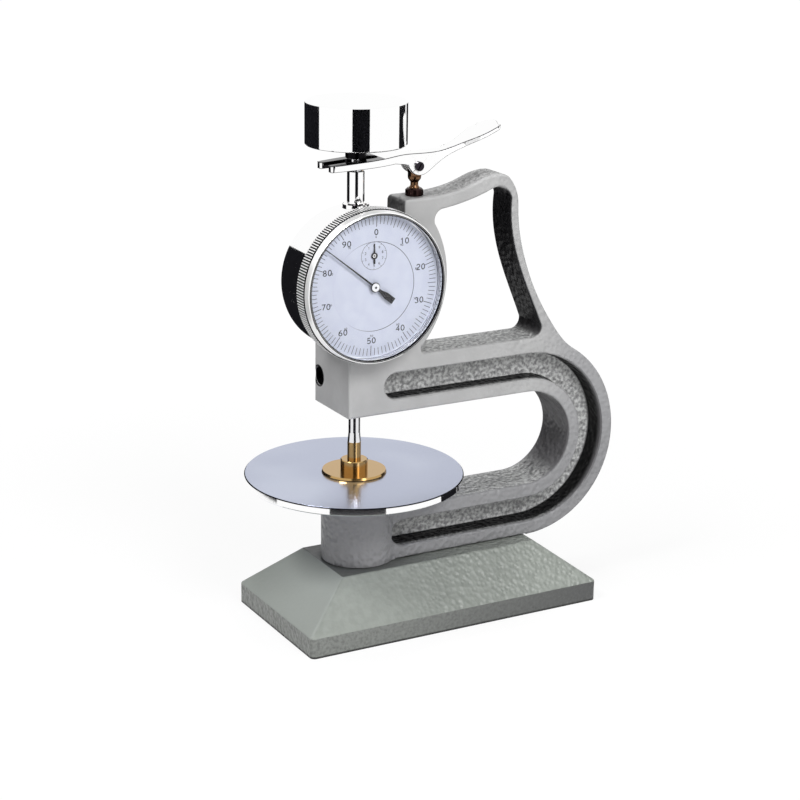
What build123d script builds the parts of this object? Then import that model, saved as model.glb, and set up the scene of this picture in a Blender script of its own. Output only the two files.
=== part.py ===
from build123d import *

import os
from math import atan2, cos, degrees, pi, radians, sin, sqrt

os.makedirs("parts", exist_ok=True)

# Bench thickness gauge. X runs from the dial towards the back of the handle, the dial
# faces -Y, and the origin is on the bench, on the spindle axis. Sizes are in millimetres.

# Driving dimensions of the stand
base_left_x = -34.5
base_right_x = 93.8
base_half_y = 32.5
slab_top_z = 8.15
plateau_left_x = -14.0
plateau_right_x = 72.6
plateau_half_y = 17.6
plateau_z = 24.3
rim_wall = 5.0
rib_half_y = 7.0
bolt_xs = (8.0, 34.0, 62.0)

bend_x = 73.5
bend_z = 65.0
throat_r = 19.3
bend_outer_r = 40.6
pocket_inner_r = 24.6
pocket_outer_r = 35.2
pocket_top_end_x = 8.3
pocket_low_end_x = 10.9
casting_half_y = 11.3
casting_draft = 0.0311
cradle_r = 29.4
seat_gap = 0.4

block_front_x = -7.0
block_rear_x = 7.5
block_back_y = 21.0
block_top_z = 107.5
clamp_y = 16.5
clamp_z = 95.1
boss_x = 1.8
boss_r = 14.45
boss_top_z = 50.0

# Driving dimensions of the anvil, spindle and lifting gear
anvil_r = 42.65
anvil_top_z = 59.8
anvil_thick = 3.1
spindle_r = 2.25
travel = 10.0
foot_r = 12.6
weight_r = 19.14
weight_bottom_z = 188.0
weight_top_z = 204.3
pivot_x = 25.05
pivot_z = 178.2
bar_top_z = 166.5

# Driving dimensions of the dial gauge, with depths along Y
gauge_z = 136.9
case_r = 27.7
case_inner_r = 24.4
case_front_y = -9.8
neck_front_y = -12.8
case_back_y = 7.0
cover_back_y = 8.5
bezel_r = 29.2
bezel_bore_r = 27.5
dial_y = -14.5
dial_thick = 0.6
ring_inner_r = 17.15
centre_disc_r = 17.0
crystal_front_y = -16.6
rack_pitch = 0.625
rack_teeth = 22
small_dial_z = 148.7
hand_rest_angle = 51.5
running_gap = 0.05
screw_gap = 0.02

# Sizes worked out from them
throat_top_z = bend_z + throat_r
arm_low_top_z = bend_z - throat_r
casting_bottom_z = plateau_z + seat_gap
rack_pinion_teeth = 16
gear_teeth = 100
centre_teeth = 10
rack_pinion_r = rack_pitch * rack_pinion_teeth / (2 * pi)
gear_distance = small_dial_z - gauge_z
gear_r = gear_distance * gear_teeth / (gear_teeth + centre_teeth)
centre_r = gear_distance - gear_r
rack_line_x = -1.6
rack_arbor_x = rack_line_x - rack_pinion_r
rack_arbor_z = gauge_z - sqrt(gear_distance**2 - rack_arbor_x**2)
collar_bottom_z = weight_bottom_z - 5.15


def casting_half(z):
    """Half the casting's thickness at height z, which falls with the draft"""
    return casting_half_y - casting_draft * (z - plateau_z)


def facing_front(back_y, x=0.0, z=gauge_z):
    """Sketch plane at depth back_y that faces the reader of the dial"""
    return Plane(origin=(x, back_y, z), x_dir=(1, 0, 0), z_dir=(0, -1, 0))


def gear_points(teeth, pitch_r, tooth_rise, root_share, tip_share, phase):
    """Corners of a toothed disc, with one tooth's middle at the angle phase"""
    step = 2 * pi / teeth
    sides = (
        (pitch_r - tooth_rise, -root_share),
        (pitch_r + tooth_rise, -tip_share),
        (pitch_r + tooth_rise, tip_share),
        (pitch_r - tooth_rise, root_share),
    )
    corners = []
    for tooth in range(teeth):
        for radius, share in sides:
            angle = phase + (tooth + share / 2) * step
            corners.append((radius * cos(angle), radius * sin(angle)))
    return corners


# Base: a low slab with hipped slopes up to a plateau, hollow under its sides
slab_middle_x = (base_left_x + base_right_x) / 2
plateau_middle_x = (plateau_left_x + plateau_right_x) / 2
slab_length = base_right_x - base_left_x
plateau_length = plateau_right_x - plateau_left_x
hollow_middle_y = (rib_half_y + base_half_y - rim_wall) / 2
hollow_width = base_half_y - rim_wall - rib_half_y
hollow_top_z = 18.0
hollow_top_width = 6.0
hollow_top_margin = 5.0
slab_corner_r = 2.0
plateau_corner_r = 1.0
slab_edge_round = 0.8
crest_round = 1.0
screw_head_r = 4.25
screw_head_high = 5.0
bolt_socket = 2.0
bolt_socket_deep = 2.6
counterbore_r = 4.75
counterbore_deep = 7.0
bolt_r = 2.5

with BuildPart() as base:
    with BuildSketch():
        with Locations((slab_middle_x, 0)):
            RectangleRounded(slab_length, 2 * base_half_y, slab_corner_r)
    extrude(amount=slab_top_z)
    with BuildSketch(Plane.XY.offset(slab_top_z)):
        with Locations((slab_middle_x, 0)):
            RectangleRounded(slab_length, 2 * base_half_y, slab_corner_r)
    with BuildSketch(Plane.XY.offset(plateau_z)):
        with Locations((plateau_middle_x, 0)):
            RectangleRounded(plateau_length, 2 * plateau_half_y, plateau_corner_r)
    loft()
    fillet(base.edges().group_by(Axis.Z)[-1], crest_round)
    slab_edges = [edge for edge in base.edges() if abs(edge.center().Z - slab_top_z) < 0.01]
    fillet(slab_edges, slab_edge_round)
    for side in (-1, 1):
        with BuildSketch():
            with Locations((slab_middle_x, side * hollow_middle_y)):
                RectangleRounded(slab_length - 2 * rim_wall, hollow_width, slab_corner_r)
        with BuildSketch(Plane.XY.offset(hollow_top_z)):
            with Locations((plateau_middle_x, side * (rib_half_y + hollow_top_width / 2))):
                RectangleRounded(
                    plateau_length - 2 * hollow_top_margin, hollow_top_width, slab_corner_r,
                )
        loft(mode=Mode.SUBTRACT)
    with Locations(*[(x, 0, 0) for x in bolt_xs]):
        Cylinder(
            counterbore_r, counterbore_deep,
            align=(Align.CENTER, Align.CENTER, Align.MIN), mode=Mode.SUBTRACT,
        )
        Cylinder(
            bolt_r + 0.25, plateau_z,
            align=(Align.CENTER, Align.CENTER, Align.MIN), mode=Mode.SUBTRACT,
        )
base.part.label = "base"
export_step(base.part, "parts/base.step")

# Frame casting: a C arm whose upper end carries the gauge, with a handle above
leg_start_angle = 58.0
leg_start = (
    bend_x + bend_outer_r * cos(radians(leg_start_angle)),
    bend_z + bend_outer_r * sin(radians(leg_start_angle)),
)
leg_start_tangent = (-sin(radians(leg_start_angle)), cos(radians(leg_start_angle)))
leg_hollow = (84.3, 111.2)
leg_middle = (76.1, 125.6)
leg_upper = (70.2, 142.2)
leg_top = (67.9, 160.0)
handle_shoulder = (65.2, 169.3)
handle_crest = (58.9, 173.0)
handle_dip = (45.6, 169.5)
nose_top_x = 20.0
nose_front_x = 16.9
nose_r = 2.0
nose_low_z = gauge_z + sqrt(cradle_r**2 - nose_front_x**2)
stem_bore_r = 4.0
slit_half = 0.6
post_stud_r = 2.0
post_stud_deep = 11.0
nut_seat_r = 3.6
spigot_r = 6.0
spigot_deep = 10.0
grub_z = 45.0
clamp_seat_r = 4.0
clamp_seat_deep = 4.5
clamp_screw_r = 2.0
grub_r = 2.0
bolt_reach = 4.5
bolt_hole_spare = 0.6
web_half_y = 1.5
pocket_draft = 6.0
floor_round = 1.2
edge_round = 1.0
mouth_bevel = 0.5
mouth_bevel_angle = 45.0
blend_r = 5.0
ear_corner_r = 2.0
ear_hole_gap = 0.2
land_half_y = 7.5
land_margin = 3.0

# The opening under the handle is bounded in front by the column that holds the gauge
column_centre = (-5.7, 135.8)
column_r = 41.6
opening_bottom_z = 106.3
opening_front_x = column_centre[0] + sqrt(column_r**2 - (opening_bottom_z - column_centre[1]) ** 2)
opening_front_top = (30.6, 156.4)
opening_front_corner = (31.3, 159.9)
opening_top_start = (33.6, 161.6)
opening_top_middle = (45.6, 163.9)
opening_top_end = (56.6, 167.6)
opening_crest = (60.9, 167.5)
opening_rear_top = (64.3, 163.2)
opening_rear_middle = (66.3, 142.6)
opening_rear_low = (76.0, 117.6)
opening_heel = (78.7, 111.2)
opening_heel_middle = (77.9, 107.9)
opening_heel_low = (74.6, opening_bottom_z)
opening_toe = (opening_front_x + 3.2, opening_bottom_z)
opening_toe_middle = (opening_front_x + 1.05, opening_bottom_z + 1.05)
opening_toe_end = (opening_front_x + 1.9, opening_bottom_z + 3.6)

# Cutter for the hollow band on the near side, drawn where its bevelled mouth meets its walls
mouth_plane = Plane(
    origin=(0, mouth_bevel - casting_half(0), 0), x_dir=(1, 0, 0),
    z_dir=(0, -1, casting_draft),
)
band_end_r = (pocket_outer_r - pocket_inner_r) / 2
band_top_x = pocket_top_end_x + band_end_r
band_low_x = pocket_low_end_x + band_end_r
with BuildPart() as band_cutter:
    with BuildSketch(mouth_plane) as band:
        with BuildLine():
            ThreePointArc(
                (band_top_x, bend_z + pocket_inner_r),
                (pocket_top_end_x, bend_z + pocket_inner_r + band_end_r),
                (band_top_x, bend_z + pocket_outer_r),
            )
            Line((band_top_x, bend_z + pocket_outer_r), (bend_x, bend_z + pocket_outer_r))
            ThreePointArc(
                (bend_x, bend_z + pocket_outer_r), (bend_x + pocket_outer_r, bend_z),
                (bend_x, bend_z - pocket_outer_r),
            )
            Line((bend_x, bend_z - pocket_outer_r), (band_low_x, bend_z - pocket_outer_r))
            ThreePointArc(
                (band_low_x, bend_z - pocket_outer_r),
                (pocket_low_end_x, bend_z - pocket_inner_r - band_end_r),
                (band_low_x, bend_z - pocket_inner_r),
            )
            Line((band_low_x, bend_z - pocket_inner_r), (bend_x, bend_z - pocket_inner_r))
            ThreePointArc(
                (bend_x, bend_z - pocket_inner_r), (bend_x + pocket_inner_r, bend_z),
                (bend_x, bend_z + pocket_inner_r),
            )
            Line((bend_x, bend_z + pocket_inner_r), (band_top_x, bend_z + pocket_inner_r))
        make_face()
    extrude(band.sketch, amount=-casting_half_y, taper=pocket_draft)
    split(bisect_by=Plane.XZ.offset(web_half_y), keep=Keep.TOP)
    fillet(band_cutter.faces().sort_by(Axis.Y)[-1].edges(), floor_round)
    extrude(band.sketch, amount=2 * mouth_bevel, taper=-mouth_bevel_angle)

with BuildPart() as frame_casting:
    # Side view of the whole casting
    with BuildSketch(Plane.XZ):
        with BuildLine():
            throat = Line((block_front_x, throat_top_z), (bend_x, throat_top_z))
            ThreePointArc(
                throat @ 1, (bend_x + throat_r, bend_z), (bend_x, arm_low_top_z)
            )
            Polyline(
                (bend_x, arm_low_top_z), (boss_x, arm_low_top_z),
                (boss_x, casting_bottom_z), (bend_x, casting_bottom_z),
                (bend_x, bend_z - bend_outer_r),
            )
            ThreePointArc(
                (bend_x, bend_z - bend_outer_r), (bend_x + bend_outer_r, bend_z), leg_start
            )
            Spline(
                leg_start, leg_hollow, leg_middle, leg_upper, leg_top,
                tangents=(leg_start_tangent, (0, 1)),
            )
            Spline(
                leg_top, handle_shoulder, handle_crest, tangents=((0, 1), (-1, 0))
            )
            Spline(
                handle_crest, handle_dip, (nose_top_x, bar_top_z),
                tangents=((-1, 0), (-1, 0)),
            )
            Line((nose_top_x, bar_top_z), (nose_front_x + nose_r, bar_top_z))
            RadiusArc(
                (nose_front_x + nose_r, bar_top_z),
                (nose_front_x, bar_top_z - nose_r), -nose_r,
            )
            Line((nose_front_x, bar_top_z - nose_r), (nose_front_x, nose_low_z))
            ThreePointArc(
                (nose_front_x, nose_low_z), (cradle_r, gauge_z), (0, block_top_z)
            )
            Polyline(
                (0, block_top_z), (block_front_x, block_top_z), throat @ 0
            )
        make_face()
        # Opening for the hand
        with BuildLine():
            Line(opening_heel_low, opening_toe)
            ThreePointArc(opening_toe, opening_toe_middle, opening_toe_end)
            ThreePointArc(
                opening_toe_end, (column_centre[0] + column_r, column_centre[1]),
                opening_front_top,
            )
            ThreePointArc(opening_front_top, opening_front_corner, opening_top_start)
            Spline(opening_top_start, opening_top_middle, opening_top_end)
            ThreePointArc(opening_top_end, opening_crest, opening_rear_top)
            Spline(opening_rear_top, opening_rear_middle, opening_rear_low, opening_heel)
            ThreePointArc(opening_heel, opening_heel_middle, opening_heel_low)
        make_face(mode=Mode.SUBTRACT)
    extrude(amount=block_back_y, both=True)

    # Both sides lean in with the draft of the mould
    low_z = casting_bottom_z - 5.0
    high_z = handle_crest[1] + 5.0
    with BuildSketch(Plane.YZ.offset(block_front_x - 1.0)):
        Polygon(
            (-casting_half(low_z), low_z), (casting_half(low_z), low_z),
            (casting_half(high_z), high_z), (-casting_half(high_z), high_z),
            align=None,
        )
    extrude(amount=bend_x + bend_outer_r - block_front_x + 5.0, mode=Mode.INTERSECT)

    silhouette = [
        edge for edge in frame_casting.edges()
        if abs(abs(edge.center().Y) - casting_half(edge.center().Z)) < 0.02
    ]
    fillet(silhouette, edge_round)

    # Boss that carries the anvil, blended into both leaning sides of the lower arm
    for level in (casting_bottom_z, boss_top_z):
        side_y = casting_half(level) - 0.05
        blend_x = boss_x + sqrt((boss_r + blend_r) ** 2 - (side_y + blend_r) ** 2)
        join_x = boss_x + (blend_x - boss_x) * boss_r / (boss_r + blend_r)
        join_y = (side_y + blend_r) * boss_r / (boss_r + blend_r)
        with BuildSketch(Plane.XY.offset(level)):
            with BuildLine():
                ThreePointArc((join_x, join_y), (boss_x - boss_r, 0), (join_x, -join_y))
                RadiusArc((join_x, -join_y), (blend_x, -side_y), blend_r)
                Line((blend_x, -side_y), (blend_x, side_y))
                RadiusArc((blend_x, side_y), (join_x, join_y), blend_r)
            make_face()
    loft()

    # Hollow band along both sides of the C, with a web left in the middle
    add(band_cutter.part, mode=Mode.SUBTRACT)
    add(mirror(band_cutter.part, about=Plane.XZ, mode=Mode.PRIVATE), mode=Mode.SUBTRACT)

    # Clamp ears behind the upper arm, split down to the bore for the gauge stem
    ear_depth = block_back_y - casting_half(block_top_z) + 2.0
    with BuildSketch(Plane.XY.offset(throat_top_z)):
        with Locations(((block_front_x + block_rear_x) / 2, block_back_y - ear_depth / 2)):
            Rectangle(block_rear_x - block_front_x, ear_depth)
    extrude(amount=block_top_z - throat_top_z)
    fillet(frame_casting.edges().filter_by(Axis.Z).sort_by(Axis.Y)[-2:], ear_corner_r)
    with Locations((0, 0, throat_top_z)):
        Cylinder(
            stem_bore_r, block_top_z - throat_top_z + 1.0,
            align=(Align.CENTER, Align.CENTER, Align.MIN), mode=Mode.SUBTRACT,
        )
    with BuildSketch(Plane.XY.offset(throat_top_z)):
        with Locations((0, block_back_y / 2 + 1.0)):
            Rectangle(2 * slit_half, block_back_y + 2.0)
    extrude(amount=block_top_z - throat_top_z + 1.0, mode=Mode.SUBTRACT)
    with BuildSketch(Plane.YZ.offset(block_front_x)):
        with Locations((clamp_y, clamp_z)):
            Circle(clamp_seat_r)
    extrude(amount=clamp_seat_deep, mode=Mode.SUBTRACT)
    with BuildSketch(Plane.YZ.offset(block_front_x)):
        with Locations((clamp_y, clamp_z)):
            Circle(clamp_screw_r + ear_hole_gap)
    extrude(amount=-block_front_x, mode=Mode.SUBTRACT)
    with BuildSketch(Plane.YZ):
        with Locations((clamp_y, clamp_z)):
            Circle(clamp_screw_r + screw_gap)
    extrude(amount=block_rear_x + 1.0, mode=Mode.SUBTRACT)

    # Seating land under the lower arm, and the tapped holes in it
    with BuildSketch(Plane.XY.offset(plateau_z)):
        with Locations(((boss_x + plateau_right_x) / 2, 0)):
            Rectangle(plateau_right_x - boss_x - 2 * land_margin, 2 * land_half_y)
    extrude(amount=seat_gap + 0.2)
    with Locations(*[(x, 0, plateau_z) for x in bolt_xs]):
        Cylinder(
            bolt_r + screw_gap, bolt_reach + bolt_hole_spare,
            align=(Align.CENTER, Align.CENTER, Align.MIN), mode=Mode.SUBTRACT,
        )

    # Bore for the anvil spigot, its grub screw, and the hole for the lever post
    with Locations((0, 0, boss_top_z)):
        Cylinder(
            spigot_r + screw_gap, spigot_deep + 1.0,
            align=(Align.CENTER, Align.CENTER, Align.MAX), mode=Mode.SUBTRACT,
        )
    with BuildSketch(Plane.XZ):
        with Locations((0, grub_z)):
            Circle(grub_r + screw_gap)
    extrude(amount=-boss_r - 1.0, mode=Mode.SUBTRACT)
    with Locations((pivot_x, 0, bar_top_z + 1.0)):
        Cylinder(
            post_stud_r + screw_gap, post_stud_deep + 2.0,
            align=(Align.CENTER, Align.CENTER, Align.MAX), mode=Mode.SUBTRACT,
        )
    with Locations((pivot_x, 0, bar_top_z)):
        Cylinder(
            nut_seat_r, 2.0, align=(Align.CENTER, Align.CENTER, Align.MIN),
            mode=Mode.SUBTRACT,
        )
frame_casting.part.label = "frame_casting"
export_step(frame_casting.part, "parts/frame_casting.step")

# Socket head screws that hold the casting down, put in from below
with BuildPart() as frame_bolts:
    for bolt_x in bolt_xs:
        with BuildSketch(Plane.XZ):
            with BuildLine():
                Polyline(
                    (bolt_x, counterbore_deep), (bolt_x, plateau_z + bolt_reach),
                    (bolt_x + bolt_r, plateau_z + bolt_reach),
                    (bolt_x + bolt_r, counterbore_deep),
                    (bolt_x + screw_head_r, counterbore_deep),
                    (bolt_x + screw_head_r, counterbore_deep - screw_head_high),
                    (bolt_x, counterbore_deep - screw_head_high), close=True,
                )
            make_face()
        revolve(axis=Axis((bolt_x, 0, 0), (0, 0, 1)))
        with BuildSketch(Plane.XY.offset(counterbore_deep - screw_head_high)):
            with Locations((bolt_x, 0)):
                RegularPolygon(bolt_socket, 6, major_radius=False)
        extrude(amount=bolt_socket_deep, mode=Mode.SUBTRACT)
frame_bolts.part.label = "frame_bolts"
export_step(frame_bolts.part, "parts/frame_bolts.step")

# Anvil: a polished round table on a spigot
anvil_hub_r = 11.0
anvil_low_bevel = 0.5
anvil_rim_bevel = 0.35
with BuildPart() as anvil_plate:
    with BuildSketch(Plane.XZ):
        with BuildLine():
            Polyline(
                (0, boss_top_z - spigot_deep),
                (spigot_r - anvil_low_bevel, boss_top_z - spigot_deep),
                (spigot_r, boss_top_z - spigot_deep + anvil_low_bevel), (spigot_r, boss_top_z),
                (anvil_hub_r, boss_top_z), (anvil_hub_r, anvil_top_z - anvil_thick),
                (anvil_r - anvil_low_bevel, anvil_top_z - anvil_thick),
                (anvil_r, anvil_top_z - anvil_thick + anvil_low_bevel),
                (anvil_r, anvil_top_z - anvil_rim_bevel),
                (anvil_r - anvil_rim_bevel, anvil_top_z), (0, anvil_top_z), close=True,
            )
        make_face()
    revolve(axis=Axis.Z)
anvil_plate.part.label = "anvil_plate"
export_step(anvil_plate.part, "parts/anvil_plate.step")

# Grub screw that locks the spigot from behind
grub_length = 8.0
grub_socket = 1.0
grub_socket_deep = 2.0
with BuildPart() as anvil_grub_screw:
    with BuildSketch(Plane.XZ.offset(-spigot_r)):
        with Locations((0, grub_z)):
            Circle(grub_r)
    extrude(amount=-grub_length)
    with BuildSketch(Plane.XZ.offset(-spigot_r - grub_length)):
        with Locations((0, grub_z)):
            RegularPolygon(grub_socket, 6, major_radius=False)
    extrude(amount=grub_socket_deep, mode=Mode.SUBTRACT)
anvil_grub_screw.part.label = "anvil_grub_screw"
export_step(anvil_grub_screw.part, "parts/anvil_grub_screw.step")

# Screw that pinches the split ears round the gauge stem
clamp_head_high = 4.0
clamp_head_gap = 0.5
clamp_socket = 1.5
clamp_socket_deep = 2.2
clamp_end_gap = 1.0
with BuildPart() as clamp_screw:
    with BuildSketch(Plane.YZ.offset(block_front_x + clamp_seat_deep)):
        with Locations((clamp_y, clamp_z)):
            Circle(clamp_seat_r - clamp_head_gap)
    extrude(amount=-clamp_head_high)
    with BuildSketch(Plane.YZ.offset(block_front_x + clamp_seat_deep)):
        with Locations((clamp_y, clamp_z)):
            Circle(clamp_screw_r)
    extrude(amount=block_rear_x - clamp_end_gap - block_front_x - clamp_seat_deep)
    with BuildSketch(Plane.YZ.offset(block_front_x + clamp_seat_deep - clamp_head_high)):
        with Locations((clamp_y, clamp_z)):
            RegularPolygon(clamp_socket, 6, major_radius=False)
    extrude(amount=clamp_socket_deep, mode=Mode.SUBTRACT)
clamp_screw.part.label = "clamp_screw"
export_step(clamp_screw.part, "parts/clamp_screw.step")

# Gauge case: a turned ring, open behind, with a neck in front for the turning bezel
neck_r = 26.4
groove_r = 25.9
groove_front_y = -12.0
groove_rear_y = -11.0
flange_rear_y = -11.2
flange_inner_r = 21.5
cover_seat_y = 5.8
lug_r = 2.4
lug_circle_r = 22.6
lug_angles = (45, 135, 225, 315)
cover_screw_r = 1.2
stem_r = stem_bore_r - screw_gap
tube_r = 3.3
tube_hole_high = 8.0
collar_seat_z = 163.8
collar_seat_r = 5.0
collar_seat_gap = 0.1
case_edge = 0.5
gauge_axis = Axis((0, 0, gauge_z), (0, 1, 0))

with BuildPart() as gauge_case:
    with BuildSketch(Plane.XY.offset(gauge_z)):
        with BuildLine():
            Polyline(
                (flange_inner_r, neck_front_y), (neck_r, neck_front_y),
                (neck_r, groove_front_y), (groove_r, groove_front_y),
                (groove_r, groove_rear_y), (neck_r, groove_rear_y),
                (neck_r, case_front_y), (case_r, case_front_y),
                (case_r, case_back_y - case_edge), (case_r - case_edge, case_back_y),
                (case_inner_r, case_back_y), (case_inner_r, flange_rear_y),
                (flange_inner_r, flange_rear_y), close=True,
            )
        make_face()
    revolve(axis=gauge_axis)
    with BuildSketch(facing_front(cover_seat_y)):
        with PolarLocations(lug_circle_r, len(lug_angles), start_angle=lug_angles[0]):
            Circle(lug_r)
    extrude(amount=cover_seat_y + 1.0)
    with BuildSketch(facing_front(cover_seat_y)):
        with PolarLocations(lug_circle_r, len(lug_angles), start_angle=lug_angles[0]):
            Circle(cover_screw_r + screw_gap)
    extrude(amount=cover_seat_y, mode=Mode.SUBTRACT)
    with Locations((0, 0, gauge_z - case_r + 2.0)):
        Cylinder(stem_r + screw_gap, tube_hole_high, mode=Mode.SUBTRACT)
    with Locations((0, 0, gauge_z + case_r - 2.0)):
        Cylinder(tube_r + screw_gap, tube_hole_high, mode=Mode.SUBTRACT)
    with Locations((0, 0, collar_seat_z)):
        Cylinder(
            collar_seat_r + collar_seat_gap, tube_hole_high / 2,
            align=(Align.CENTER, Align.CENTER, Align.MIN), mode=Mode.SUBTRACT,
        )
gauge_case.part.label = "gauge_case"
export_step(gauge_case.part, "parts/gauge_case.step")

# Back cover, pressed to a shallow dish, and the screws that hold it
cover_r = 27.2
cover_step_r = 19.5
cover_dish_r = 15.5
cover_dish_deep = 0.5
cover_edge = 0.6
cover_gap = 0.1
cover_head_r = 2.0
cover_head_thick = 1.0
cover_screw_length = 6.0
slot_wide = 0.5
slot_deep = 0.5
with BuildPart() as gauge_back_cover:
    with BuildSketch(Plane.XY.offset(gauge_z)):
        with BuildLine():
            Polyline(
                (0, case_back_y), (cover_step_r, case_back_y), (cover_step_r, cover_seat_y),
                (case_inner_r - cover_gap, cover_seat_y),
                (case_inner_r - cover_gap, case_back_y), (cover_r, case_back_y),
                (cover_r, cover_back_y - cover_edge), (cover_r - cover_edge, cover_back_y),
                (cover_dish_r, cover_back_y),
                (cover_dish_r - 2 * cover_dish_deep, cover_back_y - cover_dish_deep),
                (0, cover_back_y - cover_dish_deep), close=True,
            )
        make_face()
    revolve(axis=gauge_axis)
    with BuildSketch(facing_front(cover_back_y)):
        with PolarLocations(lug_circle_r, len(lug_angles), start_angle=lug_angles[0]):
            Circle(cover_screw_r + cover_gap)
    extrude(amount=cover_back_y - cover_seat_y, mode=Mode.SUBTRACT)
    with BuildSketch(facing_front(cover_back_y)):
        with PolarLocations(lug_circle_r, len(lug_angles), start_angle=lug_angles[0]):
            Circle(cover_head_r + cover_gap)
    extrude(amount=cover_head_thick, mode=Mode.SUBTRACT)
gauge_back_cover.part.label = "gauge_back_cover"
export_step(gauge_back_cover.part, "parts/gauge_back_cover.step")

with BuildPart() as back_cover_screws:
    with BuildSketch(facing_front(cover_back_y)):
        with PolarLocations(lug_circle_r, len(lug_angles), start_angle=lug_angles[0]):
            Circle(cover_head_r)
    extrude(amount=cover_head_thick)
    with BuildSketch(facing_front(cover_back_y - cover_head_thick)):
        with PolarLocations(lug_circle_r, len(lug_angles), start_angle=lug_angles[0]):
            Circle(cover_screw_r)
    extrude(amount=cover_screw_length)
    with BuildSketch(facing_front(cover_back_y)):
        with PolarLocations(lug_circle_r, len(lug_angles), start_angle=lug_angles[0]):
            Rectangle(2 * cover_head_r, slot_wide)
    extrude(amount=slot_deep, mode=Mode.SUBTRACT)
back_cover_screws.part.label = "back_cover_screws"
export_step(back_cover_screws.part, "parts/back_cover_screws.step")

# Stem that the casting clamps, and the tube above the case; each holds a bush
stem_bottom_z = 86.5
stem_top_z = 113.2
bush_r = 3.1
bush_length = 9.0
tube_top_z = 178.1
tube_bottom_z = 161.6
tube_bush_r = 2.85
tube_bush_z = tube_top_z - 0.6 - bush_length
tube_collar_thick = 2.4
stem_edge = 0.3
tube_edge = 0.2
tube_collar_edge = 0.5
spindle_clear_r = spindle_r + 0.35
bush_bore_r = spindle_r + running_gap

with BuildPart() as gauge_stem:
    with BuildSketch(Plane.XZ):
        with BuildLine():
            Polyline(
                (bush_r + screw_gap, stem_bottom_z), (stem_r - stem_edge, stem_bottom_z),
                (stem_r, stem_bottom_z + stem_edge), (stem_r, stem_top_z),
                (spindle_clear_r, stem_top_z), (spindle_clear_r, stem_bottom_z + bush_length),
                (bush_r + screw_gap, stem_bottom_z + bush_length), close=True,
            )
        make_face()
    revolve(axis=Axis.Z)
gauge_stem.part.label = "gauge_stem"
export_step(gauge_stem.part, "parts/gauge_stem.step")

with BuildPart() as lower_bush:
    with Locations((0, 0, stem_bottom_z)):
        Cylinder(bush_r, bush_length, align=(Align.CENTER, Align.CENTER, Align.MIN))
        Cylinder(
            bush_bore_r, bush_length, align=(Align.CENTER, Align.CENTER, Align.MIN),
            mode=Mode.SUBTRACT,
        )
lower_bush.part.label = "lower_bush"
export_step(lower_bush.part, "parts/lower_bush.step")

with BuildPart() as upper_guide_tube:
    with BuildSketch(Plane.XZ):
        with BuildLine():
            Polyline(
                (spindle_clear_r, tube_bottom_z), (tube_r, tube_bottom_z),
                (tube_r, collar_seat_z), (collar_seat_r, collar_seat_z),
                (collar_seat_r, collar_seat_z + tube_collar_thick - tube_collar_edge),
                (collar_seat_r - tube_collar_edge, collar_seat_z + tube_collar_thick),
                (tube_r, collar_seat_z + tube_collar_thick), (tube_r, tube_top_z - tube_edge),
                (tube_r - tube_edge, tube_top_z), (tube_bush_r + screw_gap, tube_top_z),
                (tube_bush_r + screw_gap, tube_bush_z), (spindle_clear_r, tube_bush_z), close=True,
            )
        make_face()
    revolve(axis=Axis.Z)
upper_guide_tube.part.label = "upper_guide_tube"
export_step(upper_guide_tube.part, "parts/upper_guide_tube.step")

with BuildPart() as upper_bush:
    with Locations((0, 0, tube_bush_z)):
        Cylinder(tube_bush_r, bush_length, align=(Align.CENTER, Align.CENTER, Align.MIN))
        Cylinder(
            bush_bore_r, bush_length, align=(Align.CENTER, Align.CENTER, Align.MIN),
            mode=Mode.SUBTRACT,
        )
upper_bush.part.label = "upper_bush"
export_step(upper_bush.part, "parts/upper_bush.step")

# Spring ring that keeps the bezel on the neck of the case
ring_gap_angle = 30.0
spring_ring_wide = 0.74
spring_ring_thick = 0.7
spring_ring_r = groove_r + 0.05 + spring_ring_wide / 2
with BuildPart() as bezel_spring_ring:
    with BuildSketch(Plane.XY.offset(gauge_z)):
        with Locations((spring_ring_r, (groove_front_y + groove_rear_y) / 2)):
            Rectangle(spring_ring_wide, spring_ring_thick)
    revolve(axis=gauge_axis, revolution_arc=360.0 - ring_gap_angle)
bezel_spring_ring.part.label = "bezel_spring_ring"
export_step(bezel_spring_ring.part, "parts/bezel_spring_ring.step")

# Bezel: the rim that the user turns to set zero
skirt_rear_y = -10.0
knurl_front_y = -14.4
lip_front_y = -18.7
lip_r = 28.9
lip_round = 0.9
lip_bevel = 0.35
skirt_edge = 0.3
knurl_edge = 0.2
seat_front_y = dial_y + dial_thick
seat_rear_y = -13.1
seat_inner_r = 24.6
bezel_groove_r = 26.85
bezel_groove_gap = 0.1
with BuildPart() as bezel:
    with BuildSketch(Plane.XY.offset(gauge_z)):
        with BuildLine():
            Polyline(
                (neck_r + running_gap, skirt_rear_y), (bezel_r - skirt_edge, skirt_rear_y),
                (bezel_r, skirt_rear_y - skirt_edge), (bezel_r, knurl_front_y + knurl_edge),
                (lip_r, knurl_front_y), (lip_r, lip_front_y + lip_round),
            )
            RadiusArc(
                (lip_r, lip_front_y + lip_round), (lip_r - lip_round, lip_front_y), -lip_round
            )
            Polyline(
                (lip_r - lip_round, lip_front_y), (bezel_bore_r + lip_bevel, lip_front_y),
                (bezel_bore_r, lip_front_y + lip_bevel), (bezel_bore_r, seat_front_y),
                (seat_inner_r, seat_front_y), (seat_inner_r, seat_rear_y),
                (neck_r + running_gap, seat_rear_y),
                (neck_r + running_gap, groove_front_y - bezel_groove_gap),
                (bezel_groove_r, groove_front_y - bezel_groove_gap),
                (bezel_groove_r, groove_rear_y + bezel_groove_gap),
                (neck_r + running_gap, groove_rear_y + bezel_groove_gap),
                (neck_r + running_gap, skirt_rear_y),
            )
        make_face()
    revolve(axis=gauge_axis)
bezel.part.label = "bezel"
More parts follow.
